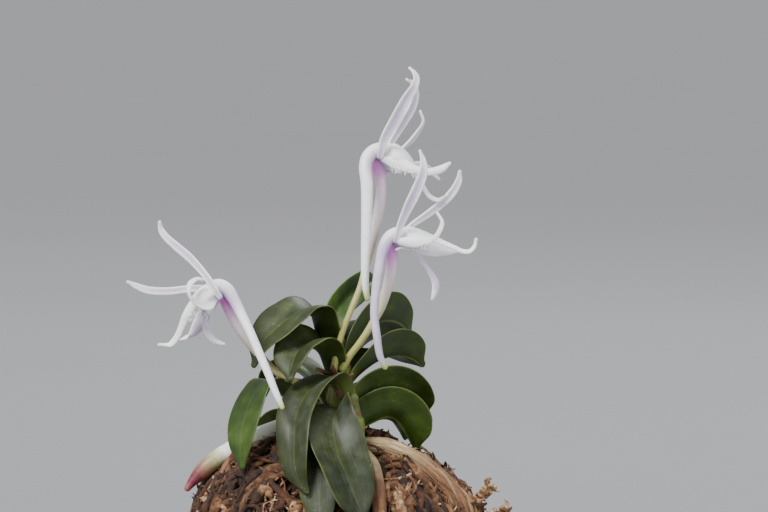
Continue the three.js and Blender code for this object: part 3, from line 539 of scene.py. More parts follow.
sheath = Finish("shoot_sheath", Roughness=0.6)
sheath.base = sheath.ramp(sheath.grain(300, 4), {0.3: "4b4a26", 0.5: "66702f", 0.7: "7f8a3f"})
joints = sheath.maths("SINE", sheath.times(sheath.mark("along"), 31.4))
sheath.lay(sheath.span(joints, 0.55, 0.95, 0, 0.75), "6b4227")
ribs = sheath.skin_grain(16, 3, 3)
sheath.lay(sheath.span(ribs, 0.5, 0.75, 0, 0.45), "9aa05c")
sheath.close(ribs, distance=0.0002, strength=0.7)

# %% Root materials
living_root = Finish("living_root", Roughness=0.5, Subsurface_Weight=0.1, Subsurface_Scale=0.001)
wander = living_root.span(living_root.grain(500, 3), 0.3, 0.7, -0.018, 0.018)
place = living_root.plus(living_root.mark("along"), wander)
stops = {
    0: "d9dacb", 0.7: "e6e7dc", 0.745: "b5b08f", 0.79: "8f845a", 0.86: "8a6150", 0.91: "693139",
    0.97: "6f2b3a", 1: "8c5056",
}
living_root.base = living_root.ramp(place, stops)
green = living_root.span(living_root.grain(160, 3), 0.5, 0.75)
living_root.lay(living_root.times(green, living_root.span(place, 0.7, 0.3, 0, 0.35)), "a3ad86")
living_root.lay(living_root.span(living_root.grain(1300, 2), 0.64, 0.72, 0, 0.35), "8d8468")
gloss = living_root.span(place, 0.72, 0.9, 0.55, 0.3)
living_root.close(living_root.grain(1100, 4), distance=0.0001, strength=0.45, gloss=gloss)

old_root = Finish("old_root", Roughness=0.8)
fibres, fine = old_root.skin_grain(6, 7, 5, 0.65), old_root.grain(900, 4)
old_root.base = old_root.ramp(fibres, {0.28: "54412c", 0.45: "97805d", 0.6: "b8a27d", 0.8: "cdbb99"})
warm = old_root.ramp(fibres, {0.28: "2a180e", 0.45: "614028", 0.6: "8a6345", 0.8: "b08d69"})
old_root.lay(old_root.span(old_root.mark("along"), 0.22, 0.55), warm)
old_root.lay(old_root.span(fine, 0.6, 0.75, 0, 0.6), "5e4329")
old_root.lay(old_root.mark("tint"), "5f4128")
relief = old_root.plus(old_root.times(fibres, 0.75), old_root.times(fine, 0.25))
old_root.close(relief, distance=0.0004, strength=0.8)

# %% [markdown]
# ## Dried moss and the pot
# Dried moss is many strands of one brown, each a little lighter or darker than the next: a strand's own tint
# picks its place on the ramp, and noise breaks it up. Strands that lie lower get darker tints, which paints
# the shade deep in the heap. The body below the strands is nearly black-brown, because it only shows as shade
# between them. The pot is a dark satin glaze that thins to brown on the rim, with the faint rings that a
# potter's fingers leave, made by a bump that reads only the height.

# %% Moss and pot materials
moss = Finish("dried_moss", Roughness=0.9)
place = moss.plus(moss.span(moss.grain(800, 5, 0.65), 0.25, 0.75, -0.22, 0.22), moss.mark("tint"))
stops = {0: "150b06", 0.25: "2c1a0f", 0.5: "452a17", 0.72: "6d4a2d", 0.9: "937353", 1: "b29b7c"}
moss.base = moss.ramp(place, stops)
moss.lay(moss.span(moss.grain(190, 3), 0.55, 0.75, 0, 0.35), "6b3518")
moss.close(moss.grain(2300, 4, 0.6), distance=0.0003, strength=0.8)

moss_shade = Finish("moss_shade", Roughness=0.95)
clumps = moss_shade.grain(330, 5, 0.65)
moss_shade.base = moss_shade.ramp(clumps, {0.3: "0d0704", 0.5: "221307", 0.7: "45290f"})
moss_shade.close(clumps, distance=0.0011)

glaze = Finish("pot_glaze", Roughness=0.3, Coat_Weight=0.4, Coat_Roughness=0.12)
height = glaze.add("SeparateXYZ", {"Vector": glaze.add("TexCoord", {}, "Object")}, "Z")
cloud = glaze.grain(45, 5, stretch=(1, 1, 2.4))
glaze.base = glaze.ramp(cloud, {0.3: "231f1d", 0.5: "332e2a", 0.72: "4a423a"})
glaze.lay(glaze.times(glaze.span(height, 0.0545, 0.0562), glaze.span(cloud, 0.3, 0.6, 0.4, 1)), "7a5a3b")
foot = glaze.span(height, 0.0022, 0.0006)
glaze.lay(foot, "8d6f52")
glaze.lay(glaze.span(glaze.grain(1500, 1), 0.72, 0.78, 0, 0.5), "6b5f52")
rings = glaze.times(glaze.maths("SINE", glaze.times(height, 1900)), 0.5)
gloss = glaze.maths("MAXIMUM", glaze.span(cloud, 0.3, 0.7, 0.24, 0.4), glaze.times(foot, 0.85))
glaze.close(glaze.plus(rings, glaze.grain(120, 3)), distance=0.00022, strength=0.35, gloss=gloss)
print("materials:", [m.name for m in bpy.data.materials])

# %% [markdown]
# ## Shoots, flowering stem and bracts
# A shoot of this orchid is a stack of old leaf bases, each clasping the next, so it swells and narrows and
# shows a brown ring at every joint. A rod with a list of radii gives the swelling, and a ripple that depends
# on the direction round the rod turns it into clasping ridges. The bracts are what is left of the scales that
# covered the flower buds. They are thin, dry and red.

# %% Measures of the shoots
# Each shoot's line and radii, in millimetres.
SHOOTS = {
    "shoot_main": (
        [(0.5, -5, 68), (0.3, -5, 78), (0.2, -4.8, 88), (0, -4.6, 97)],
        [2.2, 2.4, 2.9, 2.5, 2.9, 2.4, 2.7, 2.2, 2.4, 1.7, 1.2],
    ),
    "shoot_front": (
        [(2.6, -9.8, 68), (2.6, -10.6, 77), (2.5, -11.6, 86.5)], [1.8, 2.1, 2.4, 2, 2.3, 1.9, 1.2],
    ),
    "shoot_back": (
        [(-1, 2, 68), (-1.3, 3, 77), (-1.6, 3.8, 86)], [1.8, 2.1, 2.5, 2.1, 2.4, 1.9, 1.2],
    ),
}
STEM_LINE, STEM_RADII = [(-0.6, -8, 84.6), (-0.8, -9.4, 88), (-0.9, -10, 90.8)], [1, 1.1, 1.2]
BRACT_LINES = [
    [(-0.9, -10, 90.4), (-2.8, -10.9, 91.6), (-4.6, -11.2, 92.4)],
    [(-0.9, -10.2, 90.2), (0.8, -11.6, 90.4), (2.6, -12.2, 91.6)],
    [(-0.9, -9.9, 90.6), (-1.2, -11.6, 91.4), (-1.4, -12.4, 93.2)],
    [(-0.9, -10, 89.8), (-0.2, -11.8, 88), (0.3, -12.3, 86.2)],
]
BRACT_WIDTHS = [1.0, 1.15, 0.95, 0.6, 0.2]

# %% Make the shoots
def sheath_ripple(share, turn):
    """Two clasping edges that change sides at each joint, and fine ribs."""
    joint = int(share * 5) % 2 * math.pi
    return 1 + 0.07 * math.cos(turn - joint) + 0.05 * abs(math.sin(turn)) + 0.012 * math.sin(11 * turn)


def bract_wave(number):
    return lambda share, reach: 0.12 * math.sin(9 * share + 3 * reach + number)


for node, (points, radii) in SHOOTS.items():
    bm = bmesh.new()
    add_rod(bm, points, radii, around=32, rows=60, flat=0.85, ripple=sheath_ripple)
    finish_node(node, bm, sheath, "shoot")

bm = bmesh.new()
add_rod(bm, STEM_LINE, STEM_RADII, around=20, rows=16, tint=0.9)
finish_node("flowering_stem", bm, stalk, "stalk")

bm = bmesh.new()
for number, points in enumerate(BRACT_LINES):
    out = Vector(points[-1]) - Vector(points[0])
    add_strap(
        bm, points, BRACT_WIDTHS, steady((out.y, -out.x, 0.2)), lambda share: 24, lambda share: -30,
        thickness=0.7, edge=0.3, around=12, rows=14, wave=bract_wave(number),
    )
finish_node("bracts", bm, bract, "bract")
print("shoots, stem and bracts:", sum(triangles.values()), "triangles")

# %% [markdown]
# ## Leaves
# A leaf grows from its shoot as a folded strap, stands up, arches over and opens towards the tip. Its rib is
# the line, drawn in the upright plane in which it grew; the fold is deep at the foot and shallow at the tip;
# and the roll turns the whole blade about its rib, as leaves do that look for light.
#
# A rolled skin is chosen over a thin sheet with a Solidify modifier because the real leaf is thick at the rib
# and thin at the margin. A slow wave along the margins takes away the drawn-with-a-ruler look.

# %% Measures of the leaves
# Each leaf's rib from shoot to tip, half-width, roll and fold in degrees, how young it is and how much
# blue-grey wax and painted sheen it has.
LEAVES = {
    "leaf_main_left_1": (
        [(-1.2, -5.7, 89.3), (-3.5, -5.9, 95.8), (-4.7, -6.4, 100.5), (-5.5, -7.3, 103.1),
         (-7.1, -8.9, 103.6), (-9.4, -10.7, 102.4), (-12.2, -12.2, 100.5), (-14.9, -13.4, 97.8),
         (-16.8, -14.6, 93.9)], 6.5, [-8, -6, 3, 15, -4], [34, 20], 0.06, 0.35,
    ),
    "leaf_main_left_2": (
        [(-1.1, -7.5, 87), (-2.6, -8.1, 92.2), (-4.1, -10, 96.1), (-6.1, -13, 97.4), (-8.1, -15.9, 96),
         (-9, -18.5, 93.8), (-9.6, -20.3, 91.6)], 5.66, [42, 34, 14, 0, -6], [49, 29], 0.04, 0.5,
    ),
    "leaf_main_left_3": (
        [(-0.4, -6.6, 80.8), (-5, -7.2, 83.1), (-8.9, -8, 85.5), (-12.2, -8.9, 87.9), (-14.7, -10, 89.4),
         (-16.4, -11.3, 87.6), (-18.1, -13.4, 84), (-19.2, -15.6, 79.5), (-19.2, -17.7, 73.8)],
        5.2, [-8, -12, -8, 8, 12], [22, 13], 0.42, 0.1,
    ),
    "leaf_main_right_1": (
        [(-0.2, -4, 91.5), (-1.8, -3.4, 97.3), (-1.4, -1.1, 102), (0.8, 2.9, 105.2), (3.6, 6.9, 107.1),
         (6, 10.6, 107.6), (7.8, 13.8, 106.4)], 3.5, [-18, -38, -62, -44], [55, 32], 0.5, 0.0,
    ),
    "leaf_main_right_2": (
        [(0.6, -4, 89.4), (1.6, -2.8, 94.7), (4, 0, 98.2), (6.9, 3.1, 100.3), (9.9, 7, 100.5),
         (12.4, 11, 99), (14, 14.1, 96.7)], 6.19, [12, 38, 52], [52, 31], 0.22, 0.05,
    ),
    "leaf_main_right_3": (
        [(0.9, -4.1, 86.9), (2.5, -3.1, 89.5), (5.2, -1, 91.8), (8.1, 1.5, 93.3), (11.4, 4.6, 93.6),
         (14.3, 7.5, 92.6), (16.6, 10, 90.7)], 6.04, [4, 24, 46], [54, 32], 0.16, 0.1,
    ),
    "leaf_main_right_4": (
        [(1, -4.2, 83.9), (2.9, -3.5, 85.2), (5.4, -1.3, 86.6), (8.7, 0.8, 87), (12, 3.1, 86.3),
         (15.1, 5.8, 84.2), (17.4, 8.1, 81.1)], 5.9, [28, 22, -6], [49, 29], 0.2, 0.05,
    ),
    "leaf_main_right_5": (
        [(1.1, -4.7, 79.7), (3.7, -5.3, 79.9), (6.5, -4.9, 81.2), (9.4, -4, 82.2), (11.8, -2.7, 81),
         (13.6, -1.6, 78.2), (15.3, -0.3, 74.9)], 6.82, [42, 32, 20], [55, 32], 0.3, 0.0,
    ),
    "leaf_front_left": (
        [(1.3, -10.7, 84.2), (0.3, -11.5, 88.2), (-1.2, -13.6, 90.3), (-3.6, -16.7, 89.9),
         (-6.2, -20.1, 88.1), (-8, -23.4, 84.8), (-8.3, -27, 79.6), (-8, -28.5, 74.8), (-6.2, -29.2, 70.7)],
        4.43, [-6, -9, -9, -16, -9], [35, 20], 0.02, 0.6,
    ),
    "leaf_front_middle": (
        [(2.2, -12.4, 81.2), (0.9, -15.2, 84.1), (-0.6, -18.9, 84.2), (-1.2, -22.4, 81.5),
         (-0.6, -26, 77.8), (0.9, -28.3, 74.4), (2.4, -29.7, 70.8), (4.8, -30.6, 65.5)],
        6.28, [-24, -18, 8, 19, 15], [58, 50, 34, 28, 24, 22], 0.0, 0.85,
    ),
    "leaf_front_low": (
        [(1.4, -12, 78.6), (-1.1, -17, 80.9), (-3.2, -21.5, 78.3), (-3.9, -26, 74.1), (-3.6, -28.6, 69.1),
         (-3.2, -30.5, 63.3)], 4.3, [1, -1, -5], [29, 17], 0.0, 1.0,
    ),
    "leaf_back_left_1": (
        [(-2, 3, 80.4), (-6, 5.5, 87.6), (-10, 8.5, 90.2), (-13.6, 11.5, 88.6), (-16, 13.6, 84)],
        4.5, [0, 0], [48, 28], 0.14, 0.15,
    ),
    "leaf_back_left_2": (
        [(-2, 3, 77), (-5.6, 3, 78.6), (-9.6, 3.4, 80.2), (-13, 4, 80.4), (-15.6, 4, 78.9),
         (-16.8, 3.8, 76.4)], 3.6, [0, -16], [48, 28], 0.14, 0.15,
    ),
    "leaf_back_right_1": (
        [(-0.7, 3.5, 82), (0.9, 4.7, 89.4), (3.3, 7, 94.2), (6.5, 10.6, 96.5), (9.6, 13.9, 96.3),
         (12.3, 16.8, 93.7)], 5.02, [24, 22, 11], [52, 30], 0.14, 0.15,
    ),
    "leaf_back_right_2": (
        [(-0.6, 3.8, 77.4), (3, 5.6, 78.4), (6.6, 8.4, 79.6), (9.6, 11.4, 79.6), (12, 14.2, 77.6),
         (13.2, 16, 74.6)], 4.2, [0, 10], [48, 28], 0.14, 0.15,
    ),
    "leaf_back_middle": (
        [(-1.6, 4.8, 79.4), (-2.6, 10.6, 85), (-3.8, 16, 85.4), (-4.8, 20.4, 81.8), (-5.4, 23, 76)],
        4.7, [0, 0], [48, 28], 0.14, 0.15,
    ),
}
LEAF_SHAPE = [0.55, 0.62, 0.76, 0.89, 0.97, 1, 0.97, 0.87, 0.64, 0.16]
LEAF_ARCH = -14
LEAF_WAVE = 0.22

# %% Make the leaves
def add_leaf(bm, node, points, half, roll, fold, youth, wax_and_sheen):
    """Adds one leaf to a bmesh: a folded strap that arches out from its shoot in an upright plane."""
    out = Vector(points[-1]) - Vector(points[0])
    across = Vector((out.y, -out.x, 0)).normalized()
    chance = random.Random(node)
    phase, pace = chance.uniform(0, 6), chance.uniform(7, 10)

    def side(share, way):
        return around_turn(across, across.cross(way).normalized(), math.radians(spread(roll, share)))

    def wave(share, reach):
        size = LEAF_WAVE * reach * reach * math.sin(math.pi * share)
        return size * math.sin(pace * share + phase + 2 * reach)

    # The blush mark carries the blue-grey wax and painted sheen of this leaf.
    add_strap(
        bm, points, [share * half for share in LEAF_SHAPE], side, lambda share: spread(fold, share),
        lambda share: LEAF_ARCH, thickness=1.25, edge=0.6, around=36, rows=64, wave=wave, curl=0.9,
        tint=youth, blush=lambda *where: wax_and_sheen,
    )


for node, measures in LEAVES.items():
    bm = bmesh.new()
    add_leaf(bm, node, *measures)
    finish_node(node, bm, leaf, "leaf")
print("leaves:", len(LEAVES), "with", triangles["leaf_front_middle_fine"], "triangles each")

# %% [markdown]
# ## Roots
# The roots leave the foot of the shoots, lie over the hump and dive in at its edge. Each is one rod; the
# living ones stay round and end in a growing tip, and the old ones are furrowed more and more until they
# part into fibres. The furrows are in the shape and not only in the material, because they show in the
# outline.
#
# Three roots are drawn point by point. The rest follow the hump by rule: a compass bearing, a swing and two
# distances from the middle. So the hump's own form has to be known first.

# %% Measures of the roots
# Line and radii of the roots that are drawn. Of the others: bearing, swing, two distances and radius.
ROOTS = {
    "root_live_left": (
        [(-2.2, -8, 77.6), (-5, -7, 80.6), (-9, -5.6, 80.6), (-13, -5, 79.2), (-18.3, -4.6, 77),
         (-23.3, -4.8, 74.3), (-27, -5.4, 71.8), (-29.6, -6, 69.2), (-30.9, -6.4, 67.6)],
        [1.5, 1.9, 2, 2, 1.95, 1.9, 1.9, 1.6, 0.7],
    ),
    "root_old_right": (
        [(3.9, -6.4, 76.6), (6.2, -6.8, 76.4), (9, -7.4, 76.2), (12.2, -8, 75.2), (15.6, -8.6, 73.6),
         (19, -9.4, 71), (22.2, -10.2, 67.9), (24.6, -11.2, 64.8), (26.4, -12, 60.8), (27.4, -12.4, 57.4)],
        [1.5, 1.75, 1.85, 1.8, 1.8, 1.9, 1.8, 1.7, 1.4, 1.1],
    ),
    "root_old_front_right": (
        [(4.6, -12.6, 75.6), (6, -17, 74.8), (7.2, -21.6, 72), (7.9, -25.4, 67.6), (7.8, -27.8, 62.6),
         (7.2, -29, 58)], [1.2, 1.4, 1.45, 1.4, 1.3, 1.1],
    ),
}
BEARING_ROOTS = {
    "root_old_front_left": (-148, -16, 9, 27.5, 1.4),
    "root_live_back_left": (152, 18, 7, 28.5, 1.7),
    "root_live_back_right": (40, 16, 8, 28, 1.6),
}
OLD_BRANCH = [(5.4, -9.4, 70.4), (7.4, -9.2, 72.6), (9.8, -8.8, 74), (12.8, -8.2, 74.7)]
OLD_BRANCH_RADII = [1.0, 1.15, 1.2, 1.1]

# %% Follow the hump
# The hump's outline above the rim, as radius and height, and how it leans.
HUMP_OUTLINE = [
    (31, 56), (29.4, 60), (26.6, 65), (23.4, 69.2), (17.6, 73.4), (10.4, 76.6), (5, 77.5), (0, 77.8),
]
HUMP_FOOT, HUMP_TOP = 56, 77.8
HUMP_TILT = (0.11, 0.06)
HUMP_CENTRE = (-1.2, -1)
HUMP_DEPTH = 0.95


def hump_height(reach):
    """Height of the hump at a distance from its middle, in millimetres."""
    for (r0, z0), (r1, z1) in zip(HUMP_OUTLINE, HUMP_OUTLINE[1:]):
        if r1 <= reach <= r0:
            return mix(z1, z0, (reach - r1) / (r0 - r1))
    return HUMP_FOOT


def lean(x, y, z):
    """A point of the round hump moved as the hump leans and narrows towards its top."""
    share = max(0, (z - HUMP_FOOT) / (HUMP_TOP - HUMP_FOOT))
    deep = mix(1, HUMP_DEPTH, share)
    drop = share * (HUMP_TILT[0] * x + HUMP_TILT[1] * y)
    return Vector((HUMP_CENTRE[0] * share + x, HUMP_CENTRE[1] * share + y * deep, z - drop))


def on_hump(bearing, reach, lift):
    """The point on the hump on a bearing in degrees, lifted off it."""
    turn = math.radians(bearing)
    return lean(reach * math.cos(turn), reach * math.sin(turn), hump_height(reach) + lift)


# %% Furrows and fibres
def live_ripple(share, turn):
    """A living root is nearly round, with a few dents."""
    return 1 + 0.035 * noise.noise(Vector((math.cos(turn), math.sin(turn), 9 * share)))


def fibre_ripple(depth, count, seed):
    """Furrows that deepen along an old root."""
    def ripple(share, turn):
        where = Vector((2.2 * math.cos(turn), 2.2 * math.sin(turn), 5 * share + seed))
        furrow = math.sin(count * turn + 2.5 * share + seed) * mix(0.25, 1, share)
        return 1 + depth * furrow + 1.6 * depth * noise.noise(where)

    return ripple


def add_fibres(bm, points, away, count, seed, first=0.4):
    """Adds loose fibres that part from an old root and run beside it, at a distance away from its line."""
    line, chance = Line(points), random.Random(seed)
    for i in range(count):
        start = first + 0.4 * chance.random()
        turn = FULL_TURN * i / count + chance.uniform(-0.4, 0.4)
        path = []
        for step in range(7):
            share = mix(start, min(1, start + 0.6), step / 6)
            ahead = line.way(share)
            level = ahead.cross(Vector((0, 0, 1))).normalized()
            off = away * (0.75 + 0.3 * math.sin(math.pi * step / 6) + chance.uniform(-0.08, 0.12))
            out = around_turn(level, ahead.cross(level), turn + 0.3 * step)
            path.append(line.at(share) / MM + out * off)
        add_rod(bm, path, [0.28, 0.4, 0.42, 0.38, 0.2], around=8, rows=18, tint=chance.uniform(0, 0.4))


# %% Make the roots
for node, (points, radii) in ROOTS.items():
    bm = bmesh.new()
    if "live" in node:
        add_rod(bm, points, radii, around=28, rows=90, ripple=live_ripple)
        finish_node(node, bm, living_root, "living_root")
        continue
    furrows = fibre_ripple(depth=0.06, count=7, seed=len(node))
    add_rod(bm, points, radii, around=44, rows=110, ripple=furrows)
    if node == "root_old_right":
        furrows = fibre_ripple(depth=0.05, count=5, seed=3)
        add_rod(bm, OLD_BRANCH, OLD_BRANCH_RADII, around=26, rows=30, ripple=furrows)
        add_fibres(bm, points, away=1.75, count=9, seed=5)
    else:
        add_fibres(bm, points, away=1.25, count=3, seed=8, first=0.5)
    finish_node(node, bm, old_root, "old_root")

for node, (bearing, swing, near, far, radius) in BEARING_ROOTS.items():
    live = "live" in node
    finish, slot = (living_root, "living_root") if live else (old_root, "old_root")
    ripple = live_ripple if live else fibre_ripple(depth=0.06, count=6, seed=2)
    points = []
    for share in (0, 0.2, 0.4, 0.6, 0.8, 1):
        lift = radius * (0.55 if share < 0.9 else 0.1)
        points.append(on_hump(bearing + swing * math.sin(share * 3), mix(near, far, share), lift))
    radii = [size * radius for size in (0.8, 1, 1, 1, 0.9, 0.4 if live else 0.75)]
    bm = bmesh.new()
    add_rod(bm, points, radii, around=26, rows=60, ripple=ripple)
    finish_node(node, bm, finish, slot)
print("roots done:", sum(triangles.values()), "triangles so far")

# %% [markdown]
# ## Blooms
# Each flower has a stalk that swells into the seed case, a short column, a lip that forms a hood over the
# column and runs out into a tongue, a long hollow spur behind, three sepals and two petals. All of them are
# the two sections again: stalk, column and spur are rods, and the rest are straps. The names near and far
# are as seen from the front of the plant.

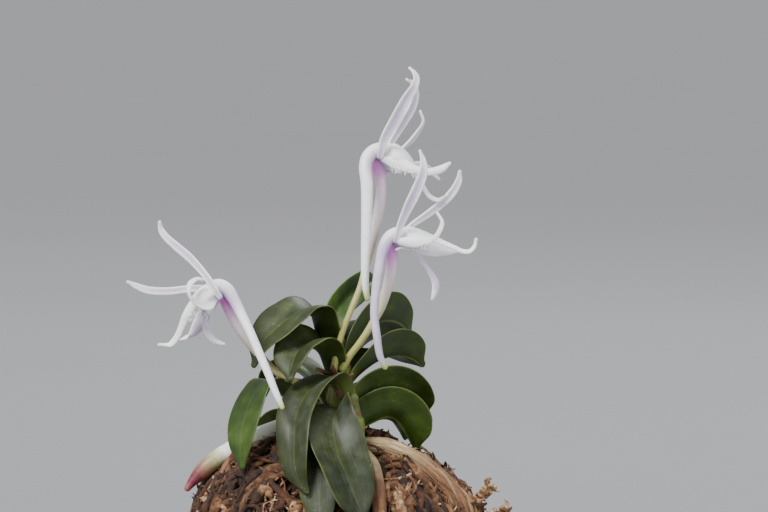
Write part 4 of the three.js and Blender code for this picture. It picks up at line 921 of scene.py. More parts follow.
# %% Measures of the blooms
# Each part's line, its radii or half-widths, and for a strap the direction across it at its root and tip.
BLOOM_PARTS = {
    "upper_bloom_stalk": (
        [(-1.2, -10.2, 92.4), (-0.6, -9.8, 96), (0.6, -9.2, 100), (2.2, -8.6, 104), (4, -8, 108.5),
         (6.2, -7, 117), (7.6, -6, 123), (8.2, -5.2, 127.6), (8, -4.8, 130.8), (7.5, -4.8, 133.6)],
        [0.75, 0.65, 0.6, 0.6, 0.62, 0.85, 1.02, 1.1, 1.05, 1.5],
    ),
    "upper_bloom_column": (
        [(8.4, -5.4, 133.8), (9.4, -5.6, 133.2), (10.2, -5.8, 132.7)], [0.9, 1.05, 1],
    ),
    "upper_bloom_spur": (
        [(10.6, -6, 135.1), (8.9, -6.3, 136.05), (7, -7, 135.8), (5.6, -8.2, 134.6), (5.1, -9.4, 132.6),
         (5.4, -10.6, 129.4), (5.3, -11.6, 121.6), (5.1, -12, 115), (5.1, -12, 109.2), (5.5, -11.8, 106.6)],
        [1.5, 1.42, 1.35, 1.28, 1.22, 1.15, 1.07, 1, 0.92, 0.84, 0.72, 0.55],
    ),
    "upper_bloom_lip": (
        [(9, -6, 136.4), (10.8, -6, 136.8), (12.3, -6, 136), (13.7, -6, 134.5), (14.9, -6, 132.4),
         (15.8, -6, 130.4), (16.8, -6, 128.2), (18, -6.2, 126.6), (19.6, -6.5, 125.9), (21.4, -6.8, 126.8)],
        [2.6, 3.5, 3.6, 2.8, 1.6, 0.95, 0.75, 0.75, 0.8, 0.75, 0.45], [(-0.1, -1, -0.1)],
    ),
    "upper_bloom_sepal_near": (
        [(8, -8.2, 134.8), (8.8, -8.7, 138), (10.9, -9.6, 142), (13, -10.6, 146), (14.8, -11.1, 148.8),
         (15.2, -11, 150.4), (14.7, -10.7, 151.6), (13.9, -10.4, 152.4)],
        [0.72, 0.85, 1, 1.1, 1.15, 1.1, 1.05, 1, 0.85, 0.62, 0.3], [(1, 0.1, -0.5)],
    ),
    "upper_bloom_sepal_far": (
        [(9.2, -3.4, 135.6), (10.6, -1.6, 138), (12.55, 0.4, 141.2), (14.25, 1.6, 144.2), (15.05, 2, 146.8),
         (14.7, 1.6, 148.7), (13.4, 0.4, 149.8)],
        [0.75, 0.82, 0.9, 1, 1.1, 1.15, 1.15, 1.05, 0.85, 0.6, 0.3], [(0.7, 0.7, -0.4)],
    ),
    "upper_bloom_sepal_middle": (
        [(9.8, -3.2, 131.6), (13, -2.2, 132), (16, -1, 132.6), (18.2, -0.4, 131.6), (20, 0.2, 129.6)],
        [0.65, 0.7, 0.8, 0.9, 1, 1.05, 1.05, 0.95, 0.8, 0.6, 0.3], [(0, 0.6, 1)],
    ),
    "upper_bloom_petal_near": (
        [(8.8, -8, 134.4), (10.6, -8.3, 133.8), (12.8, -8.7, 133), (15, -9.6, 132.2), (17.6, -11, 131.9),
         (20, -12, 132.5), (21.8, -12.4, 133.6)],
        [0.9, 1.2, 1.35, 1.3, 1.1, 0.85, 0.75, 0.8, 0.9, 0.75, 0.35], [(0, 0.4, 1), (0.2, 0.3, 1)],
    ),
    "upper_bloom_petal_far": (
        [(9.9, -3, 134.6), (12.9, -0.4, 136.4), (15.3, 2.6, 138.9), (16.7, 4.5, 141.3), (16.2, 5, 143.2)],
        [0.6, 0.65, 0.7, 0.75, 0.85, 0.9, 0.85, 0.75, 0.65, 0.5, 0.3], [(0.35, 1, -0.2)],
    ),
    "lower_bloom_stalk": (
        [(0.4, -10.2, 92.4), (2, -10, 95), (4, -10, 97.6), (6.2, -10.4, 101), (8, -10.8, 104.4),
         (9.2, -11, 108), (10, -11, 111), (10.4, -11, 114), (10, -11, 117)],
        [0.75, 0.7, 0.7, 0.7, 0.78, 0.95, 1.05, 1.12, 1.2, 1.3],
    ),
    "lower_bloom_column": (
        [(11.4, -11.6, 117.4), (12.8, -11.8, 117.6), (14, -11.9, 117.3)], [0.9, 1.05, 1],
    ),
    "lower_bloom_spur": (
        [(13.4, -12, 118.9), (11.6, -12.3, 119.6), (9.9, -13, 118.9), (8.7, -13.8, 116.9),
         (7.9, -14.8, 113.2), (7.2, -15.4, 108.4), (6.9, -15.6, 103.6), (7.4, -15.6, 99.5), (8, -15, 95.6),
         (9, -14.2, 93.2)], [1.5, 1.35, 1.2, 1.05, 0.98, 0.93, 0.88, 0.84, 0.8, 0.76, 0.7, 0.55],
    ),
    "lower_bloom_lip": (
        [(11.8, -12, 120.2), (13.4, -12, 120.6), (16, -12, 120), (18.6, -12, 118.8), (20.8, -12, 117.7),
         (22.8, -12, 116.8), (24.4, -12, 116.1), (25.8, -12, 116.1), (26.8, -12, 117.1),
         (27.1, -12, 118.4)], [2.3, 3.1, 3.3, 2.9, 1.8, 1.15, 1, 1, 0.95, 0.8, 0.45], [(0, -1, -0.15)],
    ),
    "lower_bloom_sepal_near": (
        [(11.2, -14, 118.4), (12, -14.6, 121.4), (13.4, -15.3, 124.8), (15, -16, 128.2),
         (16.4, -16.2, 131.8), (16.5, -15.9, 134.2), (15.9, -15.4, 136.3)],
        [0.65, 0.72, 0.8, 0.92, 1.05, 1.12, 1.1, 1.02, 0.9, 0.6, 0.25], [(1, 0.1, -0.4)],
    ),
    "lower_bloom_sepal_far": (
        [(12.4, -9.6, 119.4), (14.5, -8.8, 121.2), (17.6, -7, 123.2), (20.5, -5.4, 125.4),
         (22.6, -4.4, 127.6), (23.7, -4.2, 129.6), (24, -4, 131.4)],
        [0.6, 0.62, 0.68, 0.75, 0.82, 0.88, 0.92, 0.95, 0.9, 0.8, 0.45], [(0.6, 0.3, -0.8)],
    ),
    "lower_bloom_sepal_middle": (
        [(11.4, -13.2, 116.6), (12.8, -13.6, 117.1), (14.6, -13.6, 116.3), (16.6, -13.6, 114),
         (18, -13.8, 112), (19, -14, 110), (19, -14, 108.4), (18.4, -14, 106.7)],
        [0.5, 0.5, 0.5, 0.48, 0.48, 0.48, 0.52, 0.65, 0.76, 0.7, 0.35], [(1, 0.2, 0.4)],
    ),
    "lower_bloom_petal_near": (
        [(12, -14.4, 118.2), (14, -15.8, 118.3), (16.4, -17.4, 118.5), (18.6, -18.4, 119.4),
         (19.6, -18.8, 120.8), (20.1, -18.7, 122.5), (19.3, -18.2, 124.1)],
        [0.85, 1.1, 1.2, 1.15, 1, 0.85, 0.75, 0.7, 0.65, 0.5, 0.3], [(-0.2, 0.3, 1), (-0.3, 0.9, 0.3)],
    ),
    "lower_bloom_petal_far": (
        [(12.8, -8.8, 117.2), (15, -7.2, 117), (18, -5.4, 116.2), (21, -4, 115.6), (23.6, -3, 115.2)],
        [0.8, 1.1, 1.4, 1.6, 1.7, 1.7, 1.6, 1.45, 1.15, 0.75, 0.3], [(0.1, 0.35, 1)],
    ),
    "left_bloom_stalk": (
        [(-2.2, -10.4, 90.6), (-4.6, -10.8, 89.9), (-7.2, -11.4, 89.8), (-9.8, -12.2, 90.4),
         (-12.2, -13.2, 91.8), (-14.4, -13.6, 93.8), (-16.4, -14.2, 96.2), (-18.2, -15, 98.6),
         (-19.8, -15.6, 101), (-21.2, -15.8, 103.6), (-22.2, -15.8, 105.8), (-23, -15.6, 107.6)],
        [0.75, 0.75, 0.72, 0.7, 0.7, 0.78, 0.9, 1, 1.08, 1.12, 1.15, 1.25],
    ),
    "left_bloom_column": (
        [(-24.2, -16.8, 107.2), (-25.4, -18.4, 105.9), (-26, -19.2, 105)], [0.9, 1.05, 1],
    ),
    "left_bloom_spur": (
        [(-25.2, -18.2, 109.2), (-23.7, -17.6, 109.7), (-22.1, -17.8, 109), (-20.8, -18.6, 107.2),
         (-18.9, -20.2, 103.8), (-17.1, -22, 100.4), (-15.4, -23.8, 96.8), (-13.8, -25.4, 93.4),
         (-12.4, -26.6, 90.1), (-11, -27.4, 87)],
        [1.5, 1.35, 1.15, 1, 0.92, 0.86, 0.82, 0.78, 0.74, 0.66, 0.5],
    ),
    "left_bloom_lip": (
        [(-24.4, -17.6, 110.2), (-26, -19.6, 109.9), (-27.4, -21.2, 108.7), (-28.6, -22, 106.8),
         (-30, -21.6, 104.4), (-31, -21, 101.9), (-32, -20.6, 99.8), (-33.4, -20.2, 98.4),
         (-35.3, -20.2, 98.3)],
        [1.9, 2.8, 2.9, 2.3, 1.5, 1.1, 0.9, 0.75, 0.75, 0.75, 0.45], [(-0.75, 0.6, -0.1)],
    ),
    "left_bloom_sepal_near": (
        [(-23.4, -20.8, 107.9), (-24.5, -21, 109.6), (-25.9, -20.4, 111.7), (-29.1, -18.6, 115.1),
         (-32, -17, 117.4), (-34.2, -16.2, 119.3), (-35.2, -16, 120.8), (-35.4, -16.2, 122.2)],
        [0.55, 0.66, 0.7, 0.72, 0.78, 0.84, 0.86, 0.82, 0.75, 0.65, 0.35], [(0.7, 0.1, 0.7)],
    ),
    "left_bloom_sepal_far": (
        [(-25, -14.6, 108.8), (-27.5, -13.4, 108.8), (-30.4, -13, 108.6), (-34, -13, 108.2),
         (-38, -13.2, 108.4), (-40.2, -13.6, 109.2), (-42, -14.2, 110.2)],
        [0.65, 0.7, 0.75, 0.78, 0.8, 0.8, 0.8, 0.8, 0.75, 0.6, 0.28], [(0, 0.3, 1)],
    ),
    "left_bloom_sepal_middle": (
        [(-25.8, -17.2, 104.8), (-26.5, -18.8, 103.1), (-26, -19.3, 101), (-24.6, -19.6, 99.2),
         (-22.6, -19.6, 98.4)],
        [0.5, 0.52, 0.55, 0.58, 0.62, 0.65, 0.65, 0.6, 0.5, 0.4, 0.25], [(1, 0.3, 0.4)],
    ),
    "left_bloom_petal_near": (
        [(-24.6, -20.6, 107.4), (-26, -22.6, 106.3), (-27.7, -24, 106.8), (-28.9, -24.8, 108.1),
         (-29.4, -24.8, 109.8), (-28.9, -24, 111.1), (-27.7, -23, 111.7), (-26.6, -22.4, 111.4)],
        [0.8, 1.1, 1.25, 1.15, 0.95, 0.8, 0.75, 0.8, 0.75, 0.5, 0.3], [(0, 0.45, 1), (-0.6, 0.9, 0.1)],
    ),
    "left_bloom_petal_far": (
        [(-25.2, -14.8, 106.4), (-26.6, -13.2, 104), (-27.8, -12.4, 101.4), (-29.4, -12, 99.4),
         (-31.6, -12, 98.4)], [0.8, 1.05, 1.3, 1.5, 1.6, 1.6, 1.5, 1.25, 0.85, 0.5, 0.3], [(0.9, 0.1, 0.4)],
    ),
}

# The heart of each bloom, where the mauve is deepest, and how mauve its spur is.
HEARTS = {"upper": (7.0, -5.6, 132.6), "lower": (9.9, -11.8, 116.2), "left": (-22.4, -17, 106.4)}
HEART_REACH = Vector((2.3, 5, 2.9))
SPUR_MAUVE = {"upper": 0.04, "lower": 0.34, "left": 0.1}
# How mauve the sepals and petals are in the middle, which stands for their mauve and for painted shade on
# their backs, and where one bloom differs from the others.
TEPAL_MAUVE_AND_SHADE = {
    "sepal_near": 0.56, "sepal_far": 0.42, "sepal_middle": 0.6, "petal_near": 0.14, "petal_far": 0.3,
}
SPECIAL_MAUVE_AND_SHADE = {
    "upper_bloom_sepal_middle": 0.75, "left_bloom_sepal_middle": 0.5, "left_bloom_petal_far": 0.6,
}
# The small teeth of torn margins: where they start and stop, which way they point and how many there are.
FRINGES = {
    "upper_bloom_petal_near": [
        ((10.2, -8.3, 132.6), (12.1, -8.7, 131.95), (0, 0.3, -1), 7),
        ((12.9, -8.9, 131.75), (13.2, -9, 131.7), (0, 0.3, -1), 1),
        ((14.2, -9.4, 131.45), (15.4, -9.8, 131.35), (0.2, 0.3, -1), 4),
    ],
    "lower_bloom_petal_near": [((15.8, -17.2, 117.45), (16.9, -17.8, 117.8), (0.1, 0.3, -1), 5)],
    "left_bloom_lip_and_spur": [((-27.6, -22.5, 106.0), (-29.5, -21.8, 103.4), (0.8, 0.1, -0.7), 9)],
}

# %% [markdown]
# ## Where the mauve lies
# The colour of these flowers is read from the form, so it is a small function of where a point is. Near the
# heart it fades with distance, along a sepal it is strongest in the middle of the back and leaves the
# margins white, and spurs and tongues turn yellow-green only in the last few millimetres. On sepals and
# petals that greyer middle is partly their mauve and partly painted shade on their backs.

# %% Blush and tips
def ease(low, high, value):
    """A smooth step from 0 at low to 1 at high."""
    share = min(max((value - low) / (high - low), 0), 1)
    return share * share * (3 - 2 * share)


def near_heart(bloom, place):
    """How close a point is to a bloom's heart, from 0 to 1. The heart is a flattened ball."""
    far = place - Vector(HEARTS[bloom])
    return math.exp(-sum((offset / reach) ** 2 for offset, reach in zip(far, HEART_REACH)))


def petal_blush(bloom, strength):
    def blush(along, across, place):
        middle = 1 - abs(across) ** 2.2
        # On sepals and petals this body is partly painted shade: greyer in the middle of the blade, white at
        # the margins.
        body = strength * middle * (0.35 + 0.65 * math.sin(math.pi * min(1, along * 1.1)))
        return body + 0.55 * near_heart(bloom, place) * ease(0.22, 0, along)

    return blush


def spur_blush(bloom):
    def blush(along, across, place):
        body = SPUR_MAUVE[bloom] * ease(0.1, 0.4, along) * (1 - ease(0.9, 1, along))
        return body + 0.8 * near_heart(bloom, place)

    return blush


def stalk_blush(bloom):
    return lambda along, across, place: 0.95 * near_heart(bloom, place)


def green_tip(strength, start):
    return lambda along: strength * ease(start, 1, along)


# %% Parts of a bloom
def stalk_ripple(share, turn):
    """The seed case below the flower has three soft ridges that wind half a turn."""
    return 1 + 0.03 * ease(0.45, 0.7, share) * math.cos(3 * turn + 3 * share) + 0.008 * math.cos(9 * turn)


def add_column(bm, bloom, points, radii):
    """Adds the column and the rounded cap over its pollen."""
    add_rod(bm, points, radii, around=22, rows=24, blush=stalk_blush(bloom))
    end, before = Vector(points[-1]), Vector(points[-2])
    way = (end - before).normalized()
    cap = [end - way * 0.1, end + way * 0.5, end + way * 1.0]
    add_rod(bm, cap, [0.72, 0.8, 0.5], around=18, rows=8, blush=lambda *where: 0.3, tint=0.12)


def add_lip(bm, bloom, points, widths, sides):
    """Adds the hood and the tongue that it runs out into."""
    add_strap(
        bm, points, widths, steady(*sides), fold=lambda share: 0,
        arch=lambda share: mix(-105, -25, min(1, share / 0.6)), thickness=0.8, edge=0.55,
        around=32, rows=84, curl=0.9,
        wave=lambda share, reach: 0.1 * math.exp(-(reach * 5) ** 2) * math.sin(math.pi * share),
        blush=petal_blush(bloom, 0.06), tip=green_tip(0.45, 0.9),
    )


def add_tepal(bm, bloom, name, points, widths, sides):
    """Adds a sepal or a petal, whose margins wave a little."""
    phase = len(name) + len(bloom)
    # The strength stands for the tepal's mauve and for painted shade on its back.
    strength = SPECIAL_MAUVE_AND_SHADE.get(f"{bloom}_bloom_{name}", TEPAL_MAUVE_AND_SHADE[name])
    add_strap(
        bm, points, widths, steady(*sides), fold=lambda share: 14, arch=lambda share: 16,
        thickness=0.62, edge=0.45, around=24, rows=56, curl=0.95,
        wave=lambda share, reach: 0.07 * math.sin(8 * share + phase + reach) * reach * reach,
        blush=petal_blush(bloom, strength), tip=green_tip(0.22, 0.93),
    )


def add_fringe(bm, node):
    """Adds the teeth of a torn margin to a piece. Each is rooted inside the blade."""
    chance = random.Random(node)
    for start, stop, way, count in FRINGES.get(node, []):
        for i in range(count):
            root = Vector(start).lerp(Vector(stop), (i + chance.uniform(0.1, 0.9)) / count)
            point = (Vector(way) + Vector([chance.uniform(-0.35, 0.35) for axis in range(3)])).normalized()
            reach = chance.uniform(0.5, 1.1)
            tooth = [root - 0.3 * point, root + 0.4 * reach * point, root + reach * point]
            add_rod(bm, tooth, [0.3, 0.22, 0.1], around=8, rows=5, blush=lambda *where: 0.05)


# %% Make the blooms
for bloom in HEARTS:
    of_bloom = f"{bloom}_bloom_"
    bm = bmesh.new()
    add_rod(
        bm, *BLOOM_PARTS[of_bloom + "stalk"], around=26, rows=100, ripple=stalk_ripple,
        blush=stalk_blush(bloom),
    )
    finish_node(of_bloom + "stalk", bm, stalk, "stalk")

    bm = bmesh.new()
    add_column(bm, bloom, *BLOOM_PARTS[of_bloom + "column"])
    finish_node(of_bloom + "column", bm, lip, "column")

    bm = bmesh.new()
    add_lip(bm, bloom, *BLOOM_PARTS[of_bloom + "lip"])
    add_rod(
        bm, *BLOOM_PARTS[of_bloom + "spur"], around=26, rows=100, blush=spur_blush(bloom),
        tip=green_tip(0.95, 0.92),
    )
    add_fringe(bm, of_bloom + "lip_and_spur")
    finish_node(of_bloom + "lip_and_spur", bm, lip, "lip")

    for name in TEPAL_MAUVE_AND_SHADE:
        bm = bmesh.new()
        add_tepal(bm, bloom, name, *BLOOM_PARTS[of_bloom + name])
        add_fringe(bm, of_bloom + name)
        finish_node(of_bloom + name, bm, petal, "tepal")
print("blooms done:", sum(triangles.values()), "triangles so far")

# %% [markdown]
# ## The moss hump
# The plant is grown on a hump of dried moss that is packed into the pot and stands up above its rim. The
# real hump is a heap of curled brown strands with dark hollows between them. It is built in that order: a
# rough dark body that fills the pot and gives the hump its form, then strands in four kinds that ride over
# one another, then small flakes along the strands.
#
# Everything is placed by a seeded draw, so the heap is the same each time. A strand has only a few dozen
# faces, because there are hundreds of them.

# %% The body of the hump
POT_FLOOR, POT_HEIGHT, PLUG_GAP = 4, 56, 0.3
BODY_AROUND = 120
BODY_DEPTH = 0.9


def plug_radius(height, gap):
    """The pot's inner radius at a height, less a gap for the plug of moss, in millimetres."""
    return mix(21, 32.4, (height - POT_FLOOR) / (POT_HEIGHT - POT_FLOOR)) - gap


def body_outline():
    """The body's outline from the pot's floor to the crown, as radius and height."""
    floor = POT_FLOOR + PLUG_GAP
    outline = [(0, floor), (12, floor), (plug_radius(floor, PLUG_GAP + 0.2), floor)]
    outline += [(plug_radius(z, PLUG_GAP + 0.3), z) for z in (12, 20, 28, 36, 44, 50, 55)]
    for (r0, z0), (r1, z1) in zip(HUMP_OUTLINE, HUMP_OUTLINE[1:]):
        quarters = [(mix(r0, r1, k / 4), mix(z0, z1, k / 4)) for k in range(4)]
        outline += [(max(r - BODY_DEPTH, 0), z - BODY_DEPTH) for r, z in quarters]
    return outline + [(0, HUMP_TOP - BODY_DEPTH)]


def rough_body_ring(radius, height):
    """One ring of the body, rough above the rim."""
    points = []
    for k in range(BODY_AROUND):
        turn = FULL_TURN * k / BODY_AROUND
        x, y = radius * math.cos(turn), radius * math.sin(turn)
        if height > HUMP_FOOT:
            where = Vector((x, y, height)) * 0.32
            rough = 0.9 * noise.noise(where) + 0.5 * noise.noise(where * 2.7)
            grow = 1 + rough / max(radius, 4)
            points.append(lean(x * grow, y * grow, height + 0.5 * rough) * MM)
        else:
            points.append(Vector((x, y, height)) * MM)
    return points


rings = [rough_body_ring(*stop) for stop in body_outline()]
rings[0], rings[-1] = rings[0][:1], rings[-1][:1]
bm = bmesh.new()
roll_skin(bm, rings, [i / len(rings) for i in range(len(rings))], round_columns(BODY_AROUND))
finish_piece("moss_body", bm, moss_shade, "moss", "moss_hump")
print("moss body:", triangles["moss_body"], "triangles")

# %% Strands that ride over one another
# Three thicknesses of strand, then knots. For each: how many, and from least to most its radius, length,
# arch and lift. Then how much it curls and its mean tint: the kinds that lie lowest are darkest, as painted
# shade deep in the heap.
STRANDS = [
    (130, (0.85, 1.3), (8, 17), (0.6, 1.9), (-0.5, 0.2), 2.8, 0.36),
    (230, (0.45, 0.8), (6, 15), (0.5, 2.2), (-0.1, 0.9), 4.0, 0.46),
    (170, (0.16, 0.32), (5, 13), (0.5, 2.6), (0.2, 1.4), 6.0, 0.6),
    (90, (0.7, 1.15), (3, 6), (0.6, 1.6), (0.3, 1.0), 7.0, 0.55),
]
MOSS_SEED = 17
EDGE_REACH = 30.4
END_DIP = 0.9
root_runs = []
for points, radii in ROOTS.values():
    line = Line(points)
    root_runs.append(([line.at(i / 24) / MM for i in range(25)], max(radii)))
print("strands wanted:", sum(kind[0] for kind in STRANDS), "beside", len(root_runs), "roots")


def strand_path(chance, lengths, arches, lifts, most_curl):
    """A curled line over the hump, whose ends dip below its surface."""
    reach = 2 + 28.5 * math.sqrt(chance.random())
    bearing = chance.uniform(0, 360)
    length = chance.uniform(*lengths)
    arch = chance.uniform(*arches)
    lift = chance.uniform(*lifts)
    heading, curl = chance.uniform(0, FULL_TURN), chance.uniform(-1, 1) * most_curl
    points = []
    for k in range(6):
        share = k / 5
        along = (share - 0.5) * length
        way = heading + curl * (share - 0.5)
        outward = min(EDGE_REACH, max(1, reach + along * math.cos(way)))
        turned = bearing + math.degrees(along * math.sin(way) / max(outward, 7))
        crest = math.sin(math.pi * share)
        points.append(on_hump(turned, outward, lift + arch * crest - END_DIP * (1 - crest)))
    return points


def clear_of_roots(path, radius):
    """True if a strand lies beside or under the roots that show in front, and not over them."""
    for run, root_radius in root_runs:
        for point in path:
            for on_root in run:
                away = point - on_root
                if away.length < root_radius + radius + 0.2 and away.z > -0.7 * root_radius:
                    return False
    return True


def strand_ripple(seed):
    """Knots and pinches along a dried strand."""
    def ripple(share, turn):
        where = Vector((1.5 * math.cos(turn), 1.5 * math.sin(turn), 7 * share + seed))
        return 1 + 0.42 * noise.noise(where) + 0.1 * math.sin(19 * share + seed)

    return ripple


def strand_maker(path, radius, shade, seed):
    rows, around = (9, 7) if radius > 0.4 else (7, 5)
    form = dict(around=around, rows=rows, ripple=strand_ripple(seed), cap=(90, 40))
    radii = [size * radius for size in (0.7, 1, 1.05, 0.9, 0.5)]
    return lambda bm: add_rod(bm, path, radii, tint=shade, **form)


def gather(makers, sheaf):
    """Runs each maker on a bmesh and gathers all in one. Small sheaves keep the operators quick."""
    whole = bmesh.new()
    for first in range(0, len(makers), sheaf):
        part = bmesh.new()
        for make in makers[first:first + sheaf]:
            make(part)
        mesh = bpy.data.meshes.new("sheaf")
        part.to_mesh(mesh)
        part.free()
        whole.from_mesh(mesh)
        bpy.data.meshes.remove(mesh)
    return whole


# %% Draw the strands and gather them
chance = random.Random(MOSS_SEED)
strands = []
for count, radii, lengths, arches, lifts, most_curl, tone_and_depth_shade in STRANDS:
    wanted = len(strands) + count
    while len(strands) < wanted:
        path = strand_path(chance, lengths, arches, lifts, most_curl)
        radius = chance.uniform(*radii)
        # Painted shade: each tint is drawn round its kind's mean, and the kinds that lie low have darker
        # means.
        shade = min(1, max(0, chance.gauss(tone_and_depth_shade, 0.2)))
        if clear_of_roots(path, radius):
            strands.append((path, radius, shade))
makers = [strand_maker(*strand, seed) for seed, strand in enumerate(strands)]
finish_piece("moss_strands", gather(makers, 40), moss, "moss")
print("strands:", len(strands), "with", triangles["moss_strands"], "triangles")

# %% [markdown]
# ## Flakes and sprigs
# Dried moss breaks into flakes, the small leaves that lie along each strand. One flake is a short pointed
# strap of a few faces. They stand off the strands in every direction, which gives the heap its torn edges.
# Where a broken strand stands out at the edge, a sprig of knobbly crumbs is set round it.

# %% Flakes along the strands and sprigs at the edge
# Each sprig's foot and tip, and half the number of its crumbs.
SPRIGS = [
    ((24.5, -8, 61.5), (30.2, -8.4, 68.6), 11), ((26, -9, 58.5), (33.4, -9.6, 64.2), 12),
    ((-23.6, -8, 64), (-27, -10.6, 66.4), 5), ((-19, 17, 62), (-22.5, 19.5, 65.4), 6),
    ((22.6, -9.4, 63.5), (26.4, -11, 66), 5), ((-25, -10, 61), (-28.6, -12.4, 62.8), 5),
]
POINTED_CAP = (90,)


def flake_maker(root, way, length, half, shade):
    """One flake: a pointed strap of a few faces that curls up a little."""
    level = Vector((-way.y, way.x, 0.01)).normalized()
    rise = way.cross(level).normalized()
    line = [root, root + way * length * 0.5 + rise * 0.12 * length, root + way * length]
    widths = [size * half for size in (0.5, 1, 0.75, 0.12)]
    form = dict(thickness=0.22, edge=0.1, around=4, rows=3, cap=POINTED_CAP)
    return lambda bm: add_strap(
        bm, line, widths, steady(level), lambda share: 20, lambda share: 10, tint=shade, **form
    )


def crumb_maker(line, radii, shade, seed):
    """A short knobbly piece of a broken, curled-up strand."""
    form = dict(around=8, rows=10, ripple=strand_ripple(seed), cap=POINTED_CAP)
    return lambda bm: add_rod(bm, line, radii, tint=shade, **form)


makers = []
for path, radius, shade in strands:
    line = Line(path, steps=6)
    for i in range(3):
        share = 0.15 + 0.7 * chance.random()
        way = line.way(share)
        off = Vector([chance.gauss(0, 1) for axis in range(3)])
        off = (off - way * off.dot(way)).normalized()
        root = line.at(share) / MM + off * radius * 0.75
        heading = (way * 0.8 + off * 0.8).normalized()
        tone = min(1, max(0, shade + chance.uniform(-0.15, 0.3)))
        makers.append(flake_maker(root, heading, chance.uniform(0.8, 2.0), chance.uniform(0.25, 0.5), tone))
for foot, tip, stubs in SPRIGS:
    foot, tip = Vector(foot), Vector(tip)
    way = (tip - foot).normalized()
    level = way.cross(Vector((0, 0, 1))).normalized()
    middle = foot.lerp(tip, 0.5) + Vector((0, 0, 0.5))
    makers.append(crumb_maker([foot, middle, tip], [1.2, 0.8, 0.35], 0.75, stubs))
    for i in range(2 * stubs):
        share = 0.15 + 0.85 * i / (2 * stubs)
        off = around_turn(level, way.cross(level), 2.4 * i)
        at = foot.lerp(tip, share)
        heading = (off + way * chance.uniform(0.3, 1.3)).normalized()
        reach = chance.uniform(1.3, 3) * (1.2 - 0.45 * share)
        bend = Vector([chance.uniform(-0.4, 0.4) for axis in range(3)])
        line = [at, at + heading * 0.55 * reach + bend, at + heading * reach - bend]
        radii = [0.5, chance.uniform(0.35, 0.7), chance.uniform(0.08, 0.25)]
        makers.append(crumb_maker(line, radii, chance.uniform(0.6, 1), 31 * stubs + i))
finish_piece("moss_flakes", gather(makers, 80), moss, "moss")
print("flakes and crumbs:", len(makers), "with", triangles["moss_flakes"], "triangles")

# %% [markdown]
# ## The pot
# A thrown pot is a turned shape, so it is spun from its outline: the foot, the swelling side, the rim's band
# and lip, and back down inside to the floor. `use_merge` welds the last step of the spin to the first. The
# three drain holes are cut by a Boolean modifier that is applied at once, so that no modifier stays live.

# %% Spin the pot and cut its drains
POT_OUTLINE = [
    (0, 0), (21.6, 0), (22.6, 0.15), (23.4, 0.5), (23.9, 1.2), (25.9, 9), (28.6, 18), (31.1, 27), (33.0, 36),
    (34.6, 45), (35.35, 50.4), (35.9, 50.9), (36.6, 51.3), (37, 52.0), (37, 54.6), (36.75, 55.4),
    (36.1, 55.9), (35.2, 56), (33.6, 55.9), (32.7, 55.4), (32.3, 54.6), (30.2, 45), (28.2, 36), (26.3, 27),
    (24.3, 18), (22.4, 9.6), (21.4, 5.2), (20.4, 4.2), (19, 4), (0, 4),
]
DRAIN_RADIUS, DRAIN_DEPTH, DRAIN_CIRCLE, DRAINS = 2.5, 9, 11, 3
SPIN_STEPS = 96


def spin(outline):
    """Spins an outline of radius and height in millimetres once round the upright axis."""
    bm = bmesh.new()
    points = [bm.verts.new(Vector((r, 0, z)) * MM) for r, z in outline]
    edges = [bm.edges.new(pair) for pair in zip(points, points[1:])]
    bmesh.ops.spin(
        bm, geom=points + edges, cent=(0, 0, 0), axis=(0, 0, 1), dvec=(0, 0, 0), angle=FULL_TURN,
        steps=SPIN_STEPS, use_merge=True,
    )
    bmesh.ops.remove_doubles(bm, verts=bm.verts, dist=1e-5)
    return bm


pot = finish_piece("pot_thrown", spin(POT_OUTLINE), glaze, "pot", "pot")

bm = bmesh.new()
for i in range(DRAINS):
    turn = FULL_TURN * i / DRAINS
    place = Vector((DRAIN_CIRCLE * math.cos(turn), DRAIN_CIRCLE * math.sin(turn), POT_FLOOR / 2)) * MM
    bmesh.ops.create_cone(
        bm, cap_ends=True, segments=32, radius1=DRAIN_RADIUS * MM, radius2=DRAIN_RADIUS * MM,
        depth=DRAIN_DEPTH * MM, matrix=Matrix.Translation(place),
    )
cutter = new_object("drain_cutter", bm, smooth=False)
cutter_mesh = cutter.data
cut = pot.modifiers.new("drains", "BOOLEAN")
cut.object = cutter
cut.solver = "EXACT"
bpy.context.view_layer.update()
cut_mesh = bpy.data.meshes.new_from_object(pot.evaluated_get(bpy.context.evaluated_depsgraph_get()))
pot.modifiers.clear()
pot.data = cut_mesh
bpy.data.objects.remove(cutter)
bpy.data.meshes.remove(cutter_mesh)
print("pot:", len(cut_mesh.polygons), "faces")

# %% [markdown]
# ## Studio
# White petals need a background that is pale and yet a good step darker than they are. The floor is a flat
# plate, so wide that its far edge lies at the horizon, above the top of the picture. The main light is a
# broad soft sun, which lights the far floor as much as the near floor and so leaves one even tone behind
# the plant. Square lamps help it: one on each side, and one behind that draws a bright line along the spurs
# and petals.

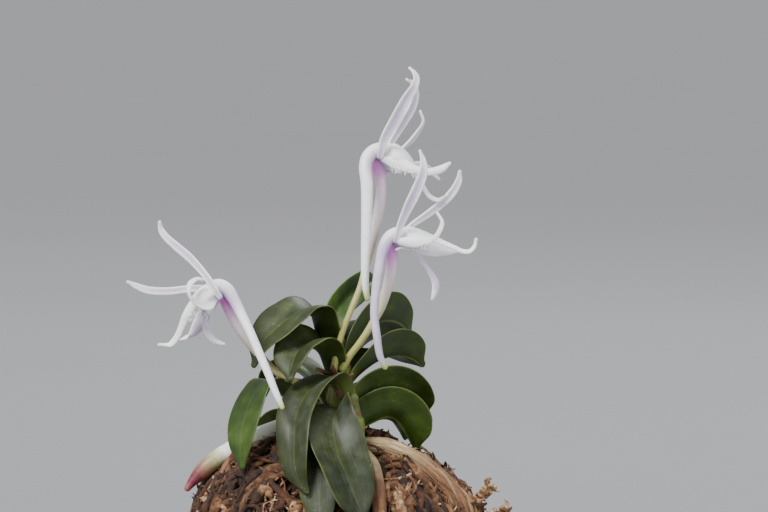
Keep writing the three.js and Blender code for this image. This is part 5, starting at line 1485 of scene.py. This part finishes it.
# %% Floor
FLOOR_HEIGHT = -0.1
floor = new_object("studio_floor", spin([(r, FLOOR_HEIGHT) for r in (0, 1000, 4000, 16000, 60000, 150000)]))
backdrop = Finish("backdrop", Roughness=0.9)
backdrop.base = backdrop.ramp(backdrop.grain(3, 2), {0.3: "7b7c7e", 0.7: "7d7e80"})
backdrop.close()
floor.data.materials.append(backdrop.material)
floor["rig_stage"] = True

# %% Light
def add_light(name, kind, energy, tone, place, facing):
    """Adds a light that looks in a direction, and returns its data."""
    data = bpy.data.lights.new(name, kind)
    data.energy = energy
    data.color = tone
    made = bpy.data.objects.new(name, data)
    made.location = place
    made.rotation_euler = Vector(facing).to_track_quat("-Z", "Y").to_euler()
    scene.collection.objects.link(made)
    return data


def add_lamp(name, place, size, watts, tone):
    """Adds a square soft lamp that faces the flowers."""
    data = add_light(name, "AREA", watts, tone, place, TARGET - Vector(place))
    data.shape = "SQUARE"
    data.size = size


sun = add_light("key", "SUN", 5.2, (1, 0.985, 0.965), (0, 0, 0), (0.5, 0.62, -1))
sun.angle = math.radians(24)
add_lamp("fill", (0.6, -0.95, 0.35), 0.8, 7, (0.96, 0.98, 1))
add_lamp("left", (-0.8, -0.7, 0.3), 0.8, 4, (1, 0.98, 0.95))
add_lamp("rim", (0.3, 0.8, 1.0), 0.5, 9, (0.94, 0.97, 1))
world = bpy.data.worlds.new("room")
world.use_nodes = True
background = world.node_tree.nodes["Background"]
background.inputs["Color"].default_value = (0.93, 0.95, 1, 1)
background.inputs["Strength"].default_value = 0.5
scene.world = world

# %% [markdown]
# ## Sizes
# The finished plant's box is printed beside the frame's, with the pieces of the frame that have no finer
# piece.

# %% Sizes
replaced = {node for o in bpy.data.objects for node in o.get("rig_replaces", [])}
finished_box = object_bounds()
print("pieces:", len(triangles), "triangles:", sum(triangles.values()))
print("nodes with no finer piece:", sorted(set(frame["nodes"]) - replaced))
for label, box in (("frame", frame_box), ("finished", finished_box)):
    print(label, [[round(v / MM, 1) for v in corner] for corner in box])
